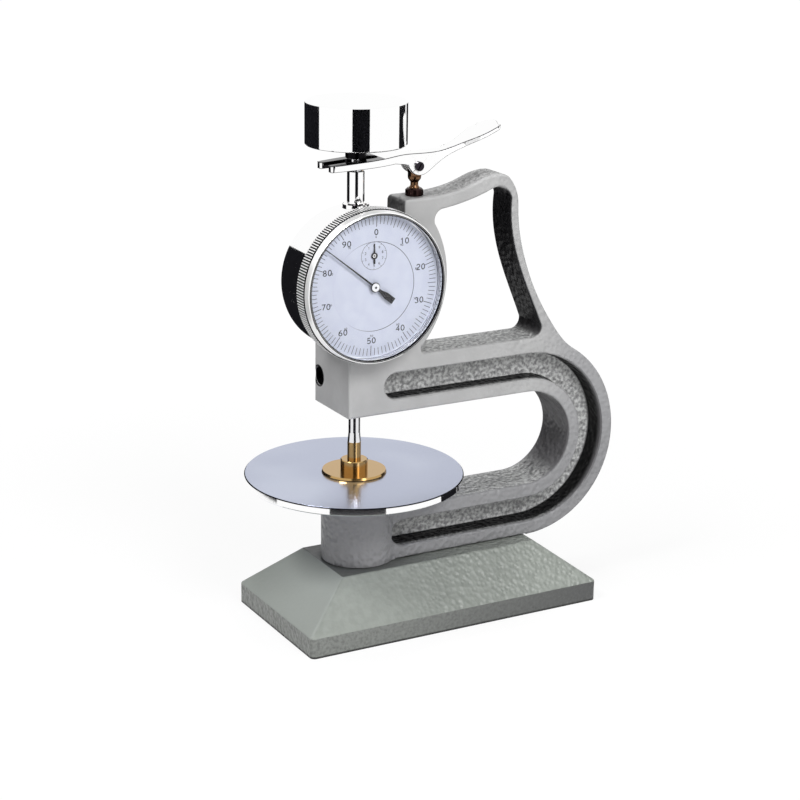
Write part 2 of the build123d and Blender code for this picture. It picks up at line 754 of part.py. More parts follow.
export_step(bezel.part, "parts/bezel.step")

# Crystal over the dial
crystal_r = bezel_bore_r - 0.04
crystal_thick = 1.6
crystal_bevel = 0.35
with BuildPart() as crystal:
    with BuildSketch(facing_front(crystal_front_y)):
        Circle(crystal_r)
    extrude(amount=crystal_thick)
    chamfer(crystal.edges().group_by(Axis.Y)[0], crystal_bevel)
crystal.part.label = "crystal"
export_step(crystal.part, "parts/crystal.step")

# Dial: a graduated ring that turns with the bezel round a fixed middle
with BuildPart() as scale_ring:
    with BuildSketch(facing_front(seat_front_y)):
        Circle(bezel_bore_r - 0.2)
        Circle(ring_inner_r, mode=Mode.SUBTRACT)
    extrude(amount=dial_thick)
scale_ring.part.label = "scale_ring"
export_step(scale_ring.part, "parts/scale_ring.step")

dial_foot_x = 13.0
dial_foot_r = 1.0
arbor_hole_gap = 0.25
plate_front_y = flange_rear_y
arbor_r = 0.75
with BuildPart() as dial_centre:
    with BuildSketch(facing_front(seat_front_y)):
        Circle(centre_disc_r)
    extrude(amount=dial_thick)
    with BuildSketch(facing_front(plate_front_y)):
        with Locations((-dial_foot_x, 0), (dial_foot_x, 0)):
            Circle(dial_foot_r)
    extrude(amount=plate_front_y - seat_front_y)
    with BuildSketch(facing_front(seat_front_y)):
        with Locations((0, 0), (0, small_dial_z - gauge_z)):
            Circle(arbor_r + arbor_hole_gap)
    extrude(amount=dial_thick, mode=Mode.SUBTRACT)
dial_centre.part.label = "dial_centre"
export_step(dial_centre.part, "parts/dial_centre.step")

# Movement plates. The train sits between the front plate and the spindle
plate_rear_y = -10.0
plate_r = case_inner_r - 0.1
bridge_front_y = -5.6
bridge_rear_y = -4.4
rear_plate_front_y = 3.2
rear_plate_rear_y = 4.4
rear_plate_r = 19.0
bridge_half = 2.5
bridge_foot_r = 2.2
pillar_r = 2.0
plate_screw_r = 1.0
plate_screw_gap = 0.1
plate_screw_angle = 60
plate_screw_circle_r = 22.9
bridge_post_x = 15.2
pillar_places = ((14.3, -10.0), (-14.3, 10.0), (14.3, 10.0))
rack_arbor_place = (rack_arbor_x, rack_arbor_z - gauge_z)
counter_place = (0, small_dial_z - gauge_z)

with BuildPart() as movement_front_plate:
    with BuildSketch(facing_front(plate_rear_y)):
        Circle(plate_r)
        Circle(arbor_r + running_gap, mode=Mode.SUBTRACT)
        with Locations(counter_place, rack_arbor_place):
            Circle(arbor_r + running_gap, mode=Mode.SUBTRACT)
        with Locations(*pillar_places, (-bridge_post_x, 0), (bridge_post_x, 0)):
            Circle(plate_screw_r + screw_gap, mode=Mode.SUBTRACT)
        with PolarLocations(plate_screw_circle_r, 3, start_angle=plate_screw_angle):
            Circle(plate_screw_r + plate_screw_gap, mode=Mode.SUBTRACT)
    extrude(amount=plate_rear_y - plate_front_y)
movement_front_plate.part.label = "movement_front_plate"
export_step(movement_front_plate.part, "parts/movement_front_plate.step")

with BuildPart() as centre_bridge:
    with BuildSketch(facing_front(bridge_rear_y)):
        SlotOverall(2 * (bridge_post_x + bridge_half), 2 * bridge_half)
        with Locations((0, gear_distance / 2)):
            Rectangle(2 * bridge_half, gear_distance)
        with Locations(counter_place):
            Circle(bridge_half)
        Circle(arbor_r + running_gap, mode=Mode.SUBTRACT)
        with Locations(counter_place):
            Circle(arbor_r + running_gap, mode=Mode.SUBTRACT)
    extrude(amount=bridge_rear_y - bridge_front_y)
    with BuildSketch(facing_front(bridge_front_y)):
        with Locations((-bridge_post_x, 0), (bridge_post_x, 0)):
            Circle(bridge_foot_r)
    extrude(amount=bridge_front_y - plate_rear_y)
    with BuildSketch(facing_front(bridge_rear_y)):
        with Locations((-bridge_post_x, 0), (bridge_post_x, 0)):
            Circle(plate_screw_r + screw_gap)
    extrude(amount=bridge_rear_y - plate_rear_y, mode=Mode.SUBTRACT)
centre_bridge.part.label = "centre_bridge"
export_step(centre_bridge.part, "parts/centre_bridge.step")

guide_pin_r = 0.8
guide_pin_z = 141.0
guide_slot_half = guide_pin_r + 0.08
guide_slot_spare = 1.0
with BuildPart() as movement_rear_plate:
    with BuildSketch(facing_front(rear_plate_rear_y)):
        Circle(rear_plate_r)
        with Locations(rack_arbor_place):
            Circle(arbor_r + running_gap, mode=Mode.SUBTRACT)
        with Locations((0, guide_pin_z + travel / 2 - gauge_z)):
            SlotOverall(
                travel + 2 * guide_slot_half + guide_slot_spare, 2 * guide_slot_half, rotation=90,
                mode=Mode.SUBTRACT,
            )
        with Locations(*pillar_places):
            Circle(plate_screw_r + plate_screw_gap, mode=Mode.SUBTRACT)
    extrude(amount=rear_plate_rear_y - rear_plate_front_y)
movement_rear_plate.part.label = "movement_rear_plate"
export_step(movement_rear_plate.part, "parts/movement_rear_plate.step")

with BuildPart() as movement_pillars:
    with BuildSketch(facing_front(rear_plate_front_y)):
        with Locations(*pillar_places):
            Circle(pillar_r)
            Circle(plate_screw_r + screw_gap, mode=Mode.SUBTRACT)
    extrude(amount=rear_plate_front_y - plate_rear_y)
movement_pillars.part.label = "movement_pillars"
export_step(movement_pillars.part, "parts/movement_pillars.step")

screw_head_thick = 0.9
movement_head_r = 1.7
rim_head_r = 1.4
pillar_screw_reach = 4.0
with BuildPart() as movement_screws:
    for head_y, reach_y, places in (
        (rear_plate_rear_y, rear_plate_front_y - pillar_screw_reach, pillar_places),
        (bridge_rear_y, plate_front_y, ((-bridge_post_x, 0), (bridge_post_x, 0))),
    ):
        with BuildSketch(facing_front(head_y + screw_head_thick)):
            with Locations(*places):
                Circle(movement_head_r)
        extrude(amount=screw_head_thick)
        with BuildSketch(facing_front(head_y)):
            with Locations(*places):
                Circle(plate_screw_r)
        extrude(amount=head_y - reach_y)
    with BuildSketch(facing_front(plate_rear_y + screw_head_thick)):
        with PolarLocations(plate_screw_circle_r, 3, start_angle=plate_screw_angle):
            Circle(rim_head_r)
    extrude(amount=screw_head_thick)
    with BuildSketch(facing_front(plate_rear_y)):
        with PolarLocations(plate_screw_circle_r, 3, start_angle=plate_screw_angle):
            Circle(plate_screw_r)
    extrude(amount=plate_rear_y - plate_front_y)
movement_screws.part.label = "movement_screws"
export_step(movement_screws.part, "parts/movement_screws.step")

# Gear train. The rack turns a 16-tooth pinion, whose 100-tooth wheel turns the centre
# pinion of 10 teeth, so 1 mm of spindle travel is one turn of the main hand
rack_wheel_y = (-9.4, -8.6)
counter_wheel_y = (-7.8, -7.0)
centre_pinion_y = (-9.6, -6.8)
tooth_rise = 0.14
wheel_root_share = 0.58
wheel_tip_share = 0.26
pinion_root_share = 0.5
pinion_tip_share = 0.18
rack_pinion_root_share = 0.55
rack_pinion_tip_share = 0.25
rack_pinion_y = (-2.2, 2.2)
arbor_end_gap = 0.2
wheel_hub_r = 1.8
wheel_hub_long = 1.4
counter_hub_r = 1.6
counter_hub_long = 0.8
counter_arbor_proud = 0.3
hand_y = -15.65
hand_thick = 0.25
line_to_rack = atan2(rack_arbor_z - gauge_z, rack_arbor_x)
centre_step = 2 * pi / centre_teeth
wheel_step = 2 * pi / gear_teeth
counter_phase = (pi / 2 - line_to_rack) / centre_step

with BuildPart() as rack_pinion_arbor:
    with BuildSketch(facing_front(rear_plate_rear_y - arbor_end_gap, rack_arbor_x, rack_arbor_z)):
        Circle(arbor_r)
    extrude(amount=rear_plate_rear_y - plate_front_y - 2 * arbor_end_gap)
    with BuildSketch(facing_front(rack_pinion_y[1], rack_arbor_x, rack_arbor_z)):
        Polygon(
            *gear_points(
                rack_pinion_teeth, rack_pinion_r, tooth_rise, rack_pinion_root_share,
                rack_pinion_tip_share, 0,
            ),
            align=None,
        )
    extrude(amount=rack_pinion_y[1] - rack_pinion_y[0])
    with BuildSketch(facing_front(rack_wheel_y[1] + wheel_hub_long, rack_arbor_x, rack_arbor_z)):
        Circle(wheel_hub_r)
    extrude(amount=wheel_hub_long)
rack_pinion_arbor.part.label = "rack_pinion_arbor"
export_step(rack_pinion_arbor.part, "parts/rack_pinion_arbor.step")

with BuildPart() as rack_wheel:
    with BuildSketch(facing_front(rack_wheel_y[1], rack_arbor_x, rack_arbor_z)):
        Polygon(
            *gear_points(
                gear_teeth, gear_r, tooth_rise, wheel_root_share, wheel_tip_share,
                line_to_rack + pi + wheel_step / 2,
            ),
            align=None,
        )
        Circle(arbor_r, mode=Mode.SUBTRACT)
    extrude(amount=rack_wheel_y[1] - rack_wheel_y[0])
rack_wheel.part.label = "rack_wheel"
export_step(rack_wheel.part, "parts/rack_wheel.step")

with BuildPart() as centre_arbor:
    with BuildSketch(facing_front(bridge_rear_y)):
        Circle(arbor_r)
    extrude(amount=bridge_rear_y - hand_y)
    with BuildSketch(facing_front(centre_pinion_y[1])):
        Polygon(
            *gear_points(
                centre_teeth, centre_r, tooth_rise, pinion_root_share, pinion_tip_share,
                line_to_rack,
            ),
            align=None,
        )
    extrude(amount=centre_pinion_y[1] - centre_pinion_y[0])
centre_arbor.part.label = "centre_arbor"
export_step(centre_arbor.part, "parts/centre_arbor.step")

with BuildPart() as counter_arbor:
    with BuildSketch(facing_front(bridge_rear_y, 0, small_dial_z)):
        Circle(arbor_r)
    extrude(amount=bridge_rear_y - dial_y + counter_arbor_proud)
    with BuildSketch(facing_front(counter_wheel_y[1] + counter_hub_long, 0, small_dial_z)):
        Circle(counter_hub_r)
    extrude(amount=counter_hub_long)
counter_arbor.part.label = "counter_arbor"
export_step(counter_arbor.part, "parts/counter_arbor.step")

with BuildPart() as counter_wheel:
    with BuildSketch(facing_front(counter_wheel_y[1], 0, small_dial_z)):
        Polygon(
            *gear_points(
                gear_teeth, gear_r, tooth_rise, wheel_root_share, wheel_tip_share,
                -pi / 2 + wheel_step / 2 + (counter_phase % 1.0) * wheel_step,
            ),
            align=None,
        )
        Circle(arbor_r, mode=Mode.SUBTRACT)
    extrude(amount=counter_wheel_y[1] - counter_wheel_y[0])
counter_wheel.part.label = "counter_wheel"
export_step(counter_wheel.part, "parts/counter_wheel.step")

# Hands
needle_r = 26.1
needle_root_half = 0.4
needle_tip_half = 0.12
tail_r = 9.8
tail_root_r = 5.8
tail_neck_r = 3.0
tail_half = 1.25
tail_neck_half = 0.6
hand_hub_r = 1.9
hand_turn = radians(90 + hand_rest_angle)
with BuildPart() as main_hand:
    with BuildSketch(facing_front(hand_y)):
        with Locations(Location((0, 0, 0), (0, 0, degrees(hand_turn)))):
            Polygon(
                (0, needle_root_half), (needle_r, needle_tip_half),
                (needle_r, -needle_tip_half), (0, -needle_root_half), align=None,
            )
            Polygon(
                (0, tail_neck_half), (-tail_neck_r, tail_neck_half), (-tail_root_r, tail_half),
                (-tail_r, tail_half), (-tail_r, -tail_half), (-tail_root_r, -tail_half),
                (-tail_neck_r, -tail_neck_half), (0, -tail_neck_half), align=None,
            )
            Circle(hand_hub_r)
        Circle(arbor_r, mode=Mode.SUBTRACT)
    extrude(amount=hand_thick)
main_hand.part.label = "main_hand"
export_step(main_hand.part, "parts/main_hand.step")

hand_boss_r = 1.55
hand_boss_thick = 0.35
with BuildPart() as main_hand_boss:
    with BuildSketch(facing_front(hand_y - hand_thick)):
        Circle(hand_boss_r)
    extrude(amount=hand_boss_thick)
main_hand_boss.part.label = "main_hand_boss"
export_step(main_hand_boss.part, "parts/main_hand_boss.step")

counter_hand_y = dial_y - 0.25
counter_hand_thick = 0.2
counter_hand_hub_r = 1.3
counter_needle_r = 4.6
counter_tail_r = 3.0
with BuildPart() as counter_hand:
    with BuildSketch(facing_front(counter_hand_y, 0, small_dial_z)):
        Polygon(
            (0.3, 0), (0.2, counter_needle_r), (-0.2, counter_needle_r), (-0.3, 0), align=None
        )
        Polygon(
            (0.25, 0), (0.4, -counter_tail_r), (-0.4, -counter_tail_r), (-0.25, 0), align=None
        )
        Circle(counter_hand_hub_r)
        Circle(arbor_r, mode=Mode.SUBTRACT)
    extrude(amount=counter_hand_thick)
counter_hand.part.label = "counter_hand"
export_step(counter_hand.part, "parts/counter_hand.step")

# Spindle with its rack, and the pin that keeps it from turning
spindle_bottom_z = 72.1
cone_top_z = 75.9
cone_r = 2.6
stud_r = 1.25
stud_deep = 6.0
spindle_top_z = weight_bottom_z + 9.0
spindle_edge = 0.4
gap_half_top = 0.35 * rack_pitch
gap_half_root = 0.2 * rack_pitch
gaps_above = 3
rack_flat_x = rack_line_x - tooth_rise
rack_root_x = rack_line_x + 0.2

with BuildPart() as spindle:
    with BuildSketch(Plane.XZ):
        with BuildLine():
            Polyline(
                (0, spindle_bottom_z + stud_deep), (stud_r, spindle_bottom_z + stud_deep),
                (stud_r, spindle_bottom_z), (cone_r, spindle_bottom_z),
                (spindle_r, cone_top_z), (spindle_r, spindle_top_z - spindle_edge),
                (spindle_r - spindle_edge, spindle_top_z), (0, spindle_top_z), close=True,
            )
        make_face()
    revolve(axis=Axis.Z)
    comb = []
    for gap in range(rack_teeth):
        gap_z = rack_arbor_z + (gap + gaps_above - rack_teeth) * rack_pitch
        comb += [
            (rack_flat_x, gap_z - gap_half_top), (rack_root_x, gap_z - gap_half_root),
            (rack_root_x, gap_z + gap_half_root), (rack_flat_x, gap_z + gap_half_top),
        ]
    comb += [(-spindle_r - 1.0, comb[-1][1]), (-spindle_r - 1.0, comb[0][1])]
    with BuildSketch(Plane.XZ):
        Polygon(*comb, align=None)
    extrude(amount=spindle_r, both=True, mode=Mode.SUBTRACT)
    with BuildSketch(Plane.XZ.offset(-spindle_r)):
        with Locations((0, guide_pin_z)):
            Circle(guide_pin_r)
    extrude(amount=spindle_r, mode=Mode.SUBTRACT)
spindle.part.label = "spindle"
export_step(spindle.part, "parts/spindle.step")

with BuildPart() as spindle_guide_pin:
    with BuildSketch(Plane.XZ):
        with Locations((0, guide_pin_z)):
            Circle(guide_pin_r - screw_gap)
    extrude(amount=-rear_plate_rear_y)
spindle_guide_pin.part.label = "spindle_guide_pin"
export_step(spindle_guide_pin.part, "parts/spindle_guide_pin.step")

# Presser foot, turned in brass with a threaded stud
foot_rim_top_z = anvil_top_z + 1.1
foot_hub_r = 5.3
foot_hub_top_z = 65.1
foot_neck_r = 2.65
foot_edge = 0.3
stud_end_gap = 0.4
with BuildPart() as presser_foot:
    with BuildSketch(Plane.XZ):
        with BuildLine():
            Polyline(
                (0, anvil_top_z), (foot_r - foot_edge, anvil_top_z),
                (foot_r, anvil_top_z + foot_edge), (foot_r - foot_edge, foot_rim_top_z),
                (foot_hub_r, foot_rim_top_z), (foot_hub_r, foot_hub_top_z - foot_edge),
                (foot_hub_r - foot_edge, foot_hub_top_z), (foot_neck_r, foot_hub_top_z),
                (foot_neck_r, spindle_bottom_z), (stud_r - screw_gap, spindle_bottom_z),
                (stud_r - screw_gap, spindle_bottom_z + stud_deep - stud_end_gap),
                (0, spindle_bottom_z + stud_deep - stud_end_gap), close=True,
            )
        make_face()
    revolve(axis=Axis.Z)
presser_foot.part.label = "presser_foot"
export_step(presser_foot.part, "parts/presser_foot.step")

# Collar on the spindle that the fork lifts and the weight stands on
collar_r = 4.0
collar_edge = 0.3
with BuildPart() as weight_collar:
    with BuildSketch(Plane.XZ):
        with BuildLine():
            Polyline(
                (spindle_r + screw_gap, collar_bottom_z),
                (collar_r - collar_edge, collar_bottom_z),
                (collar_r, collar_bottom_z + collar_edge), (collar_r, weight_bottom_z),
                (spindle_r + screw_gap, weight_bottom_z), close=True,
            )
        make_face()
    revolve(axis=Axis.Z)
weight_collar.part.label = "weight_collar"
export_step(weight_collar.part, "parts/weight_collar.step")

# Dead weight, bored from below to slip over the spindle's end
weight_edge = 0.4
weight_bore_top_z = spindle_top_z + 0.5
with BuildPart() as dead_weight:
    with BuildSketch(Plane.XZ):
        with BuildLine():
            Polyline(
                (spindle_r + running_gap, weight_bottom_z),
                (weight_r - weight_edge, weight_bottom_z),
                (weight_r, weight_bottom_z + weight_edge), (weight_r, weight_top_z - weight_edge),
                (weight_r - weight_edge, weight_top_z), (0, weight_top_z),
                (0, weight_bore_top_z), (spindle_r + running_gap, weight_bore_top_z), close=True,
            )
        make_face()
    revolve(axis=Axis.Z)
dead_weight.part.label = "dead_weight"
export_step(dead_weight.part, "parts/dead_weight.step")

# Lifting lever: a forked arm in front of the pivot and a thumb paddle behind it
cheek_half = 3.3
tongue_half = 1.3
tongue_gap = 0.3
slot_half_y = 2.7
slot_end_x = 8.7
fork_tip_x = -13.3
fork_tip_half_y = 6.1
fork_tip_r = 1.4
fork_root_x = 14.0
fork_rise = 0.0577
fork_top_z = 182.3
fork_tip_thick = 2.4
fork_root_thick = 3.0
paddle_half_y = 7.0
paddle_tip_x = 60.6
paddle_tip_top = (62.0, 193.2)
paddle_tip_low = (62.0, 191.6)
hub_low = (25.5, 174.6)
hub_front = (22.3, 176.0)
hub_root = (20.6, 179.0)
neck_start_x = 22.0
neck_end_x = 30.0
paddle_start_x = 54.5
plan_z = pivot_z - 6.0
slot_front_x = pivot_x - 5.5
slot_rear_x = pivot_x + 6.0
slot_low_z = pivot_z - 5.0
slot_top_z = pivot_z + 3.2
slot_lean = 2.0
pin_r = 1.2


def fork_top(x):
    """Height of the fork's upper side at x"""
    return fork_top_z + fork_rise * x


with BuildPart() as lifting_lever:
    # Side view
    with BuildSketch(Plane.XZ):
        with BuildLine():
            Polyline(
                (fork_root_x, fork_top(fork_root_x) - fork_root_thick),
                (fork_tip_x, fork_top(fork_tip_x) - fork_tip_thick),
                (fork_tip_x, fork_top(fork_tip_x)), (fork_root_x, fork_top(fork_root_x)),
            )
            Spline(
                (fork_root_x, fork_top(fork_root_x)), (26.9, 183.1), (36.4, 183.7),
                (46.5, 186.9), (53.0, 189.6), paddle_tip_top, tangents=((1, fork_rise), (1, 0.4)),
            )
            Line(paddle_tip_top, paddle_tip_low)
            Spline(
                paddle_tip_low, (51.6, 187.4), (42.4, 183.2), (34.5, 179.4), (29.3, 175.8),
                hub_low, tangents=((-1, -0.4), (-1, 0)),
            )
            ThreePointArc(hub_low, hub_front, hub_root)
            Line(hub_root, (fork_root_x, fork_top(fork_root_x) - fork_root_thick))
        make_face()
    extrude(amount=paddle_half_y + 1.0, both=True)
    # Plan
    with BuildSketch(Plane.XY.offset(plan_z)) as plan:
        with BuildLine():
            Spline(
                (fork_tip_x, fork_tip_half_y), (-8.0, 6.8), (1.0, 7.2), (11.0, 6.0),
                (18.0, cheek_half + 0.6), (neck_start_x, cheek_half), tangents=((1, 0.2), (1, 0)),
            )
            Line((neck_start_x, cheek_half), (neck_end_x, cheek_half))
            Spline(
                (neck_end_x, cheek_half), (39.0, 3.0), (45.0, 4.2), (50.0, 6.3),
                (paddle_start_x, paddle_half_y), tangents=((1, 0), (1, 0)),
            )
            Spline(
                (paddle_start_x, paddle_half_y), (58.9, 4.9), (paddle_tip_x, 0), (58.9, -4.9),
                (paddle_start_x, -paddle_half_y), tangents=((1, 0), (-1, 0)),
            )
            Spline(
                (paddle_start_x, -paddle_half_y), (50.0, -6.3), (45.0, -4.2), (39.0, -3.0),
                (neck_end_x, -cheek_half), tangents=((-1, 0), (-1, 0)),
            )
            Line((neck_end_x, -cheek_half), (neck_start_x, -cheek_half))
            Spline(
                (neck_start_x, -cheek_half), (18.0, -cheek_half - 0.6), (11.0, -6.0), (1.0, -7.2),
                (-8.0, -6.8), (fork_tip_x, -fork_tip_half_y), tangents=((-1, 0), (-1, 0.2)),
            )
            Line((fork_tip_x, -fork_tip_half_y), (fork_tip_x, fork_tip_half_y))
        make_face()
        with Locations(((slot_end_x + fork_tip_x) / 2 - slot_half_y, 0)):
            SlotOverall(
                slot_end_x - fork_tip_x + 2 * slot_half_y, 2 * slot_half_y, mode=Mode.SUBTRACT,
            )
        fillet(plan.vertices().sort_by(Axis.X)[:4], fork_tip_r)
    extrude(amount=paddle_tip_top[1] - plan_z, mode=Mode.INTERSECT)
    # Slot for the post's tongue, and the bore for the pivot screw
    with BuildSketch(Plane.XZ):
        with BuildLine():
            Polyline(
                (slot_front_x, slot_low_z), (slot_rear_x, slot_low_z),
                (slot_rear_x - slot_lean, slot_top_z), (slot_front_x + slot_lean, slot_top_z),
                close=True,
            )
        make_face()
    extrude(amount=tongue_half + tongue_gap, both=True, mode=Mode.SUBTRACT)
    with BuildSketch(Plane.XZ):
        with Locations((pivot_x, pivot_z)):
            Circle(pin_r + screw_gap)
    extrude(amount=2 * cheek_half, both=True, mode=Mode.SUBTRACT)
lifting_lever.part.label = "lifting_lever"
export_step(lifting_lever.part, "parts/lifting_lever.step")

pivot_head_r = 1.8
pivot_head_thick = 0.9
with BuildPart() as lever_pivot_screw:
    with BuildSketch(Plane.XZ.offset(cheek_half)):
        with Locations((pivot_x, pivot_z)):
            Circle(pivot_head_r)
    extrude(amount=pivot_head_thick)
    with BuildSketch(Plane.XZ.offset(cheek_half)):
        with Locations((pivot_x, pivot_z)):
            Circle(pin_r)
    extrude(amount=-2 * cheek_half)
    with BuildSketch(Plane.XZ.offset(cheek_half + pivot_head_thick)):
        with Locations((pivot_x, pivot_z)):
            Rectangle(2 * pivot_head_r, slot_wide, rotation=60)
    extrude(amount=-slot_deep, mode=Mode.SUBTRACT)
lever_pivot_screw.part.label = "lever_pivot_screw"
export_step(lever_pivot_screw.part, "parts/lever_pivot_screw.step")

# Lever post: a turned stud screwed into the bar, with a flat tongue on top
nut_thick = 3.2
nut_r = 3.2
nut_bevel = 0.5
nut_clear = 0.2
post_collar_r = 2.5
post_neck_r = 1.5
post_neck_low_z = bar_top_z + nut_thick + 0.8
post_neck_top_z = bar_top_z + nut_thick + 2.0
post_collar_low_z = bar_top_z + nut_thick + 3.4
post_collar_top_z = pivot_z - 4.3
tongue_r = 2.3
with BuildPart() as lever_post:
    with BuildSketch(Plane.XZ):
        with BuildLine():
            Polyline(
                (pivot_x, bar_top_z - post_stud_deep + 1.0),
                (pivot_x + post_stud_r, bar_top_z - post_stud_deep + 1.0),
                (pivot_x + post_stud_r, bar_top_z + nut_thick),
                (pivot_x + post_neck_r, post_neck_low_z), (pivot_x + post_neck_r, post_neck_top_z),
                (pivot_x + post_collar_r, post_collar_low_z),
                (pivot_x + post_collar_r, post_collar_top_z), (pivot_x, post_collar_top_z),
                close=True,
            )
        make_face()
    revolve(axis=Axis((pivot_x, 0, 0), (0, 0, 1)))
    with BuildSketch(Plane.XZ):
        with Locations((pivot_x, pivot_z)):
            Circle(tongue_r)
        with Locations((pivot_x, pivot_z - tongue_r)):
            Rectangle(2 * tongue_r - 0.2, 2 * tongue_r)
    extrude(amount=tongue_half, both=True)
    with BuildSketch(Plane.XZ):
        with Locations((pivot_x, pivot_z)):
            Circle(pin_r + running_gap)
    extrude(amount=2 * tongue_half, both=True, mode=Mode.SUBTRACT)
lever_post.part.label = "lever_post"
export_step(lever_post.part, "parts/lever_post.step")

with BuildPart() as lever_lock_nut:
    with BuildSketch(Plane.XY.offset(bar_top_z)):
        with Locations((pivot_x, 0)):
            Circle(nut_r)
            Circle(post_stud_r + screw_gap, mode=Mode.SUBTRACT)
    extrude(amount=nut_thick - nut_clear)
    chamfer(lever_lock_nut.edges().group_by(Axis.Z)[-1].sort_by(SortBy.LENGTH)[-1], nut_bevel)
lever_lock_nut.part.label = "lever_lock_nut"
export_step(lever_lock_nut.part, "parts/lever_lock_nut.step")
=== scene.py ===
from math import cos, pi, radians, sin, tau

import bmesh
import bpy
from mathutils import Matrix, Vector


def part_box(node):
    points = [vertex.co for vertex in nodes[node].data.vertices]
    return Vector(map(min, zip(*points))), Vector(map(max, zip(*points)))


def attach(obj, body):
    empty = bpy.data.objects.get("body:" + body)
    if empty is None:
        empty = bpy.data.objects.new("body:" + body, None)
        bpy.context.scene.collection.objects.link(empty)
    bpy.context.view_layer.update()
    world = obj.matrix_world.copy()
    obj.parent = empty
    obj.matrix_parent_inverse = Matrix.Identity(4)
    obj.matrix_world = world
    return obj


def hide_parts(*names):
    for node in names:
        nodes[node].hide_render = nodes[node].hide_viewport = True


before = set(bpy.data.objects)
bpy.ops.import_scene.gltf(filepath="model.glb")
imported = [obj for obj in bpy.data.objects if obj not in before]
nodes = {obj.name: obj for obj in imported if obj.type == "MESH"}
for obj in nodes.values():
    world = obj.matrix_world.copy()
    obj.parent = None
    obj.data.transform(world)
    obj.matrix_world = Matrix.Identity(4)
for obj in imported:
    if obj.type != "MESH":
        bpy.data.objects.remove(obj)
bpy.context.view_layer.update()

# Places and sizes that the printed and knurled details are built round, in metres
MM = 0.001
dial_low, dial_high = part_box("scale_ring")
dial_front = dial_low.y
dial_centre = Vector((0.0, dial_front, (dial_low.z + dial_high.z) / 2))
counter_low, counter_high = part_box("counter_arbor")
counter_centre = Vector((0.0, dial_front, (counter_low.z + counter_high.z) / 2))
bezel_low, bezel_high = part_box("bezel")
nut_low, nut_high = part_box("lever_lock_nut")

# Camera, as it stood in front of the gauge, slightly above it and to its left
camera_place = Vector((-352.84, -667.60, 323.52)) * MM
camera_azimuth = radians(-29.06)
camera_elevation = radians(17.25)
camera_roll = radians(0.71)
camera_lens = 92.5
camera_shift = (0.0054, -0.0006)


def make_camera():
    """The camera at the photograph's viewing angle"""
    forward = Vector((
        -sin(camera_azimuth) * cos(camera_elevation),
        cos(camera_azimuth) * cos(camera_elevation),
        -sin(camera_elevation),
    ))
    level_right = forward.cross(Vector((0, 0, 1))).normalized()
    level_up = level_right.cross(forward)
    right = level_right * cos(camera_roll) + level_up * sin(camera_roll)
    up = level_up * cos(camera_roll) - level_right * sin(camera_roll)
    data = bpy.data.cameras.new("camera")
    data.lens = camera_lens
    data.shift_x, data.shift_y = camera_shift
    data.clip_start = 0.01
    data.clip_end = 20.0
    camera = bpy.data.objects.new("camera", data)
    camera.matrix_world = Matrix.Translation(camera_place) @ Matrix(
        (right, up, -forward)
    ).transposed().to_4x4()
    bpy.context.scene.collection.objects.link(camera)
    bpy.context.scene.camera = camera

# Shape of the casting that its finish follows: half its thickness at the bench, how fast that
# falls with height, the face of the clamp block, and the hollow band that runs round the bend
casting_half_at_bench = 12.056 * MM
casting_draft = 0.0311
block_face_x = -7.0 * MM
bend_x = 73.5 * MM
bend_z = 65.0 * MM
band_r = 29.9 * MM
band_half = 5.3 * MM
band_front_x = 8.3 * MM
clamp_hole_y = 16.5 * MM
clamp_hole_z = 95.1 * MM
clamp_shade_r = 4.3 * MM

# Where the casting's finish and its painted shade change, from none to full: depths under the
# drafted face, distances off the middle of the band, and places along X and Z. Turns and slants run
# from 0 to 1
cast_depth = (0.9 * MM, 1.8 * MM)
cast_front_x = (block_face_x + 0.1 * MM, block_face_x + 0.6 * MM)
band_edge = (band_half + 1.4 * MM, band_half + 0.8 * MM)
band_end_x = (band_front_x - 1.5 * MM, band_front_x - 1.0 * MM)
# band_wall_depth and band_wall_slant place the painted shade down the walls of the hollow band
band_wall_depth = (0.5 * MM, 3.2 * MM)
band_wall_slant = (0.75, 0.35)
bend_shade_x = (70.0 * MM, 104.0 * MM)
low_shade_z = (84.0 * MM, 46.0 * MM)
speckle_z = (152.0 * MM, 144.0 * MM)
# inner_wall_turn, inner_wall_x and inner_wall_z place the painted shade on the inner walls facing
# -X
inner_wall_turn = (-0.3, -0.8)
inner_wall_x = (10.0 * MM, 20.0 * MM)
inner_wall_z = (98.0 * MM, 114.0 * MM)
clamp_hole_edge = (clamp_shade_r + 0.1 * MM, clamp_shade_r)
clamp_hole_rear_x = block_face_x + 0.4 * MM
rough_land_x = (25.0 * MM, 75.0 * MM)
rough_land_z = (84.0 * MM, 66.0 * MM)

# Where the base's finish and its painted light and shade change
base_top_x = (0.0, 40.0 * MM)
base_skirt_x = (-30.0 * MM, 110.0 * MM)
base_foot_z = (1.1 * MM, 0.5 * MM)
base_wrinkle_x = (-10.0 * MM, 55.0 * MM)
base_end_slant = (0.45, 0.15)
base_level_slant = (0.95, 0.99)
base_upright_slant = (0.35, 0.12)

# Where the finishes and the painted shade and reflections of the smaller pieces change
anvil_rim_r = 42.32 * MM
anvil_chamfer_z = 59.38 * MM
fork_wall_y = 2.75 * MM
fork_end_x = 9.0 * MM
fork_low_z = 178.0 * MM
fork_level_slant = 0.7
ear_top_z = 179.1 * MM
ear_middle_x = 25.0 * MM
paddle_x = 32.0 * MM
paddle_side_slant = (0.7, 0.85)
bezel_lines = ((27.66 * MM, 0.22 * MM), (28.14 * MM, 0.14 * MM), (28.95 * MM, 0.07 * MM))
bezel_line_edge = 0.06 * MM
bezel_line_rear_y = bezel_low.y + 0.5 * MM
bezel_groove_y = (-15.72 * MM, -15.34 * MM)
bezel_mouth_r = 27.6 * MM
bezel_mouth_y = -16.2 * MM
bezel_lip_r = 28.5 * MM
bezel_lip_y = -15.7 * MM
weight_under_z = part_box("dead_weight")[0].z + 0.2 * MM

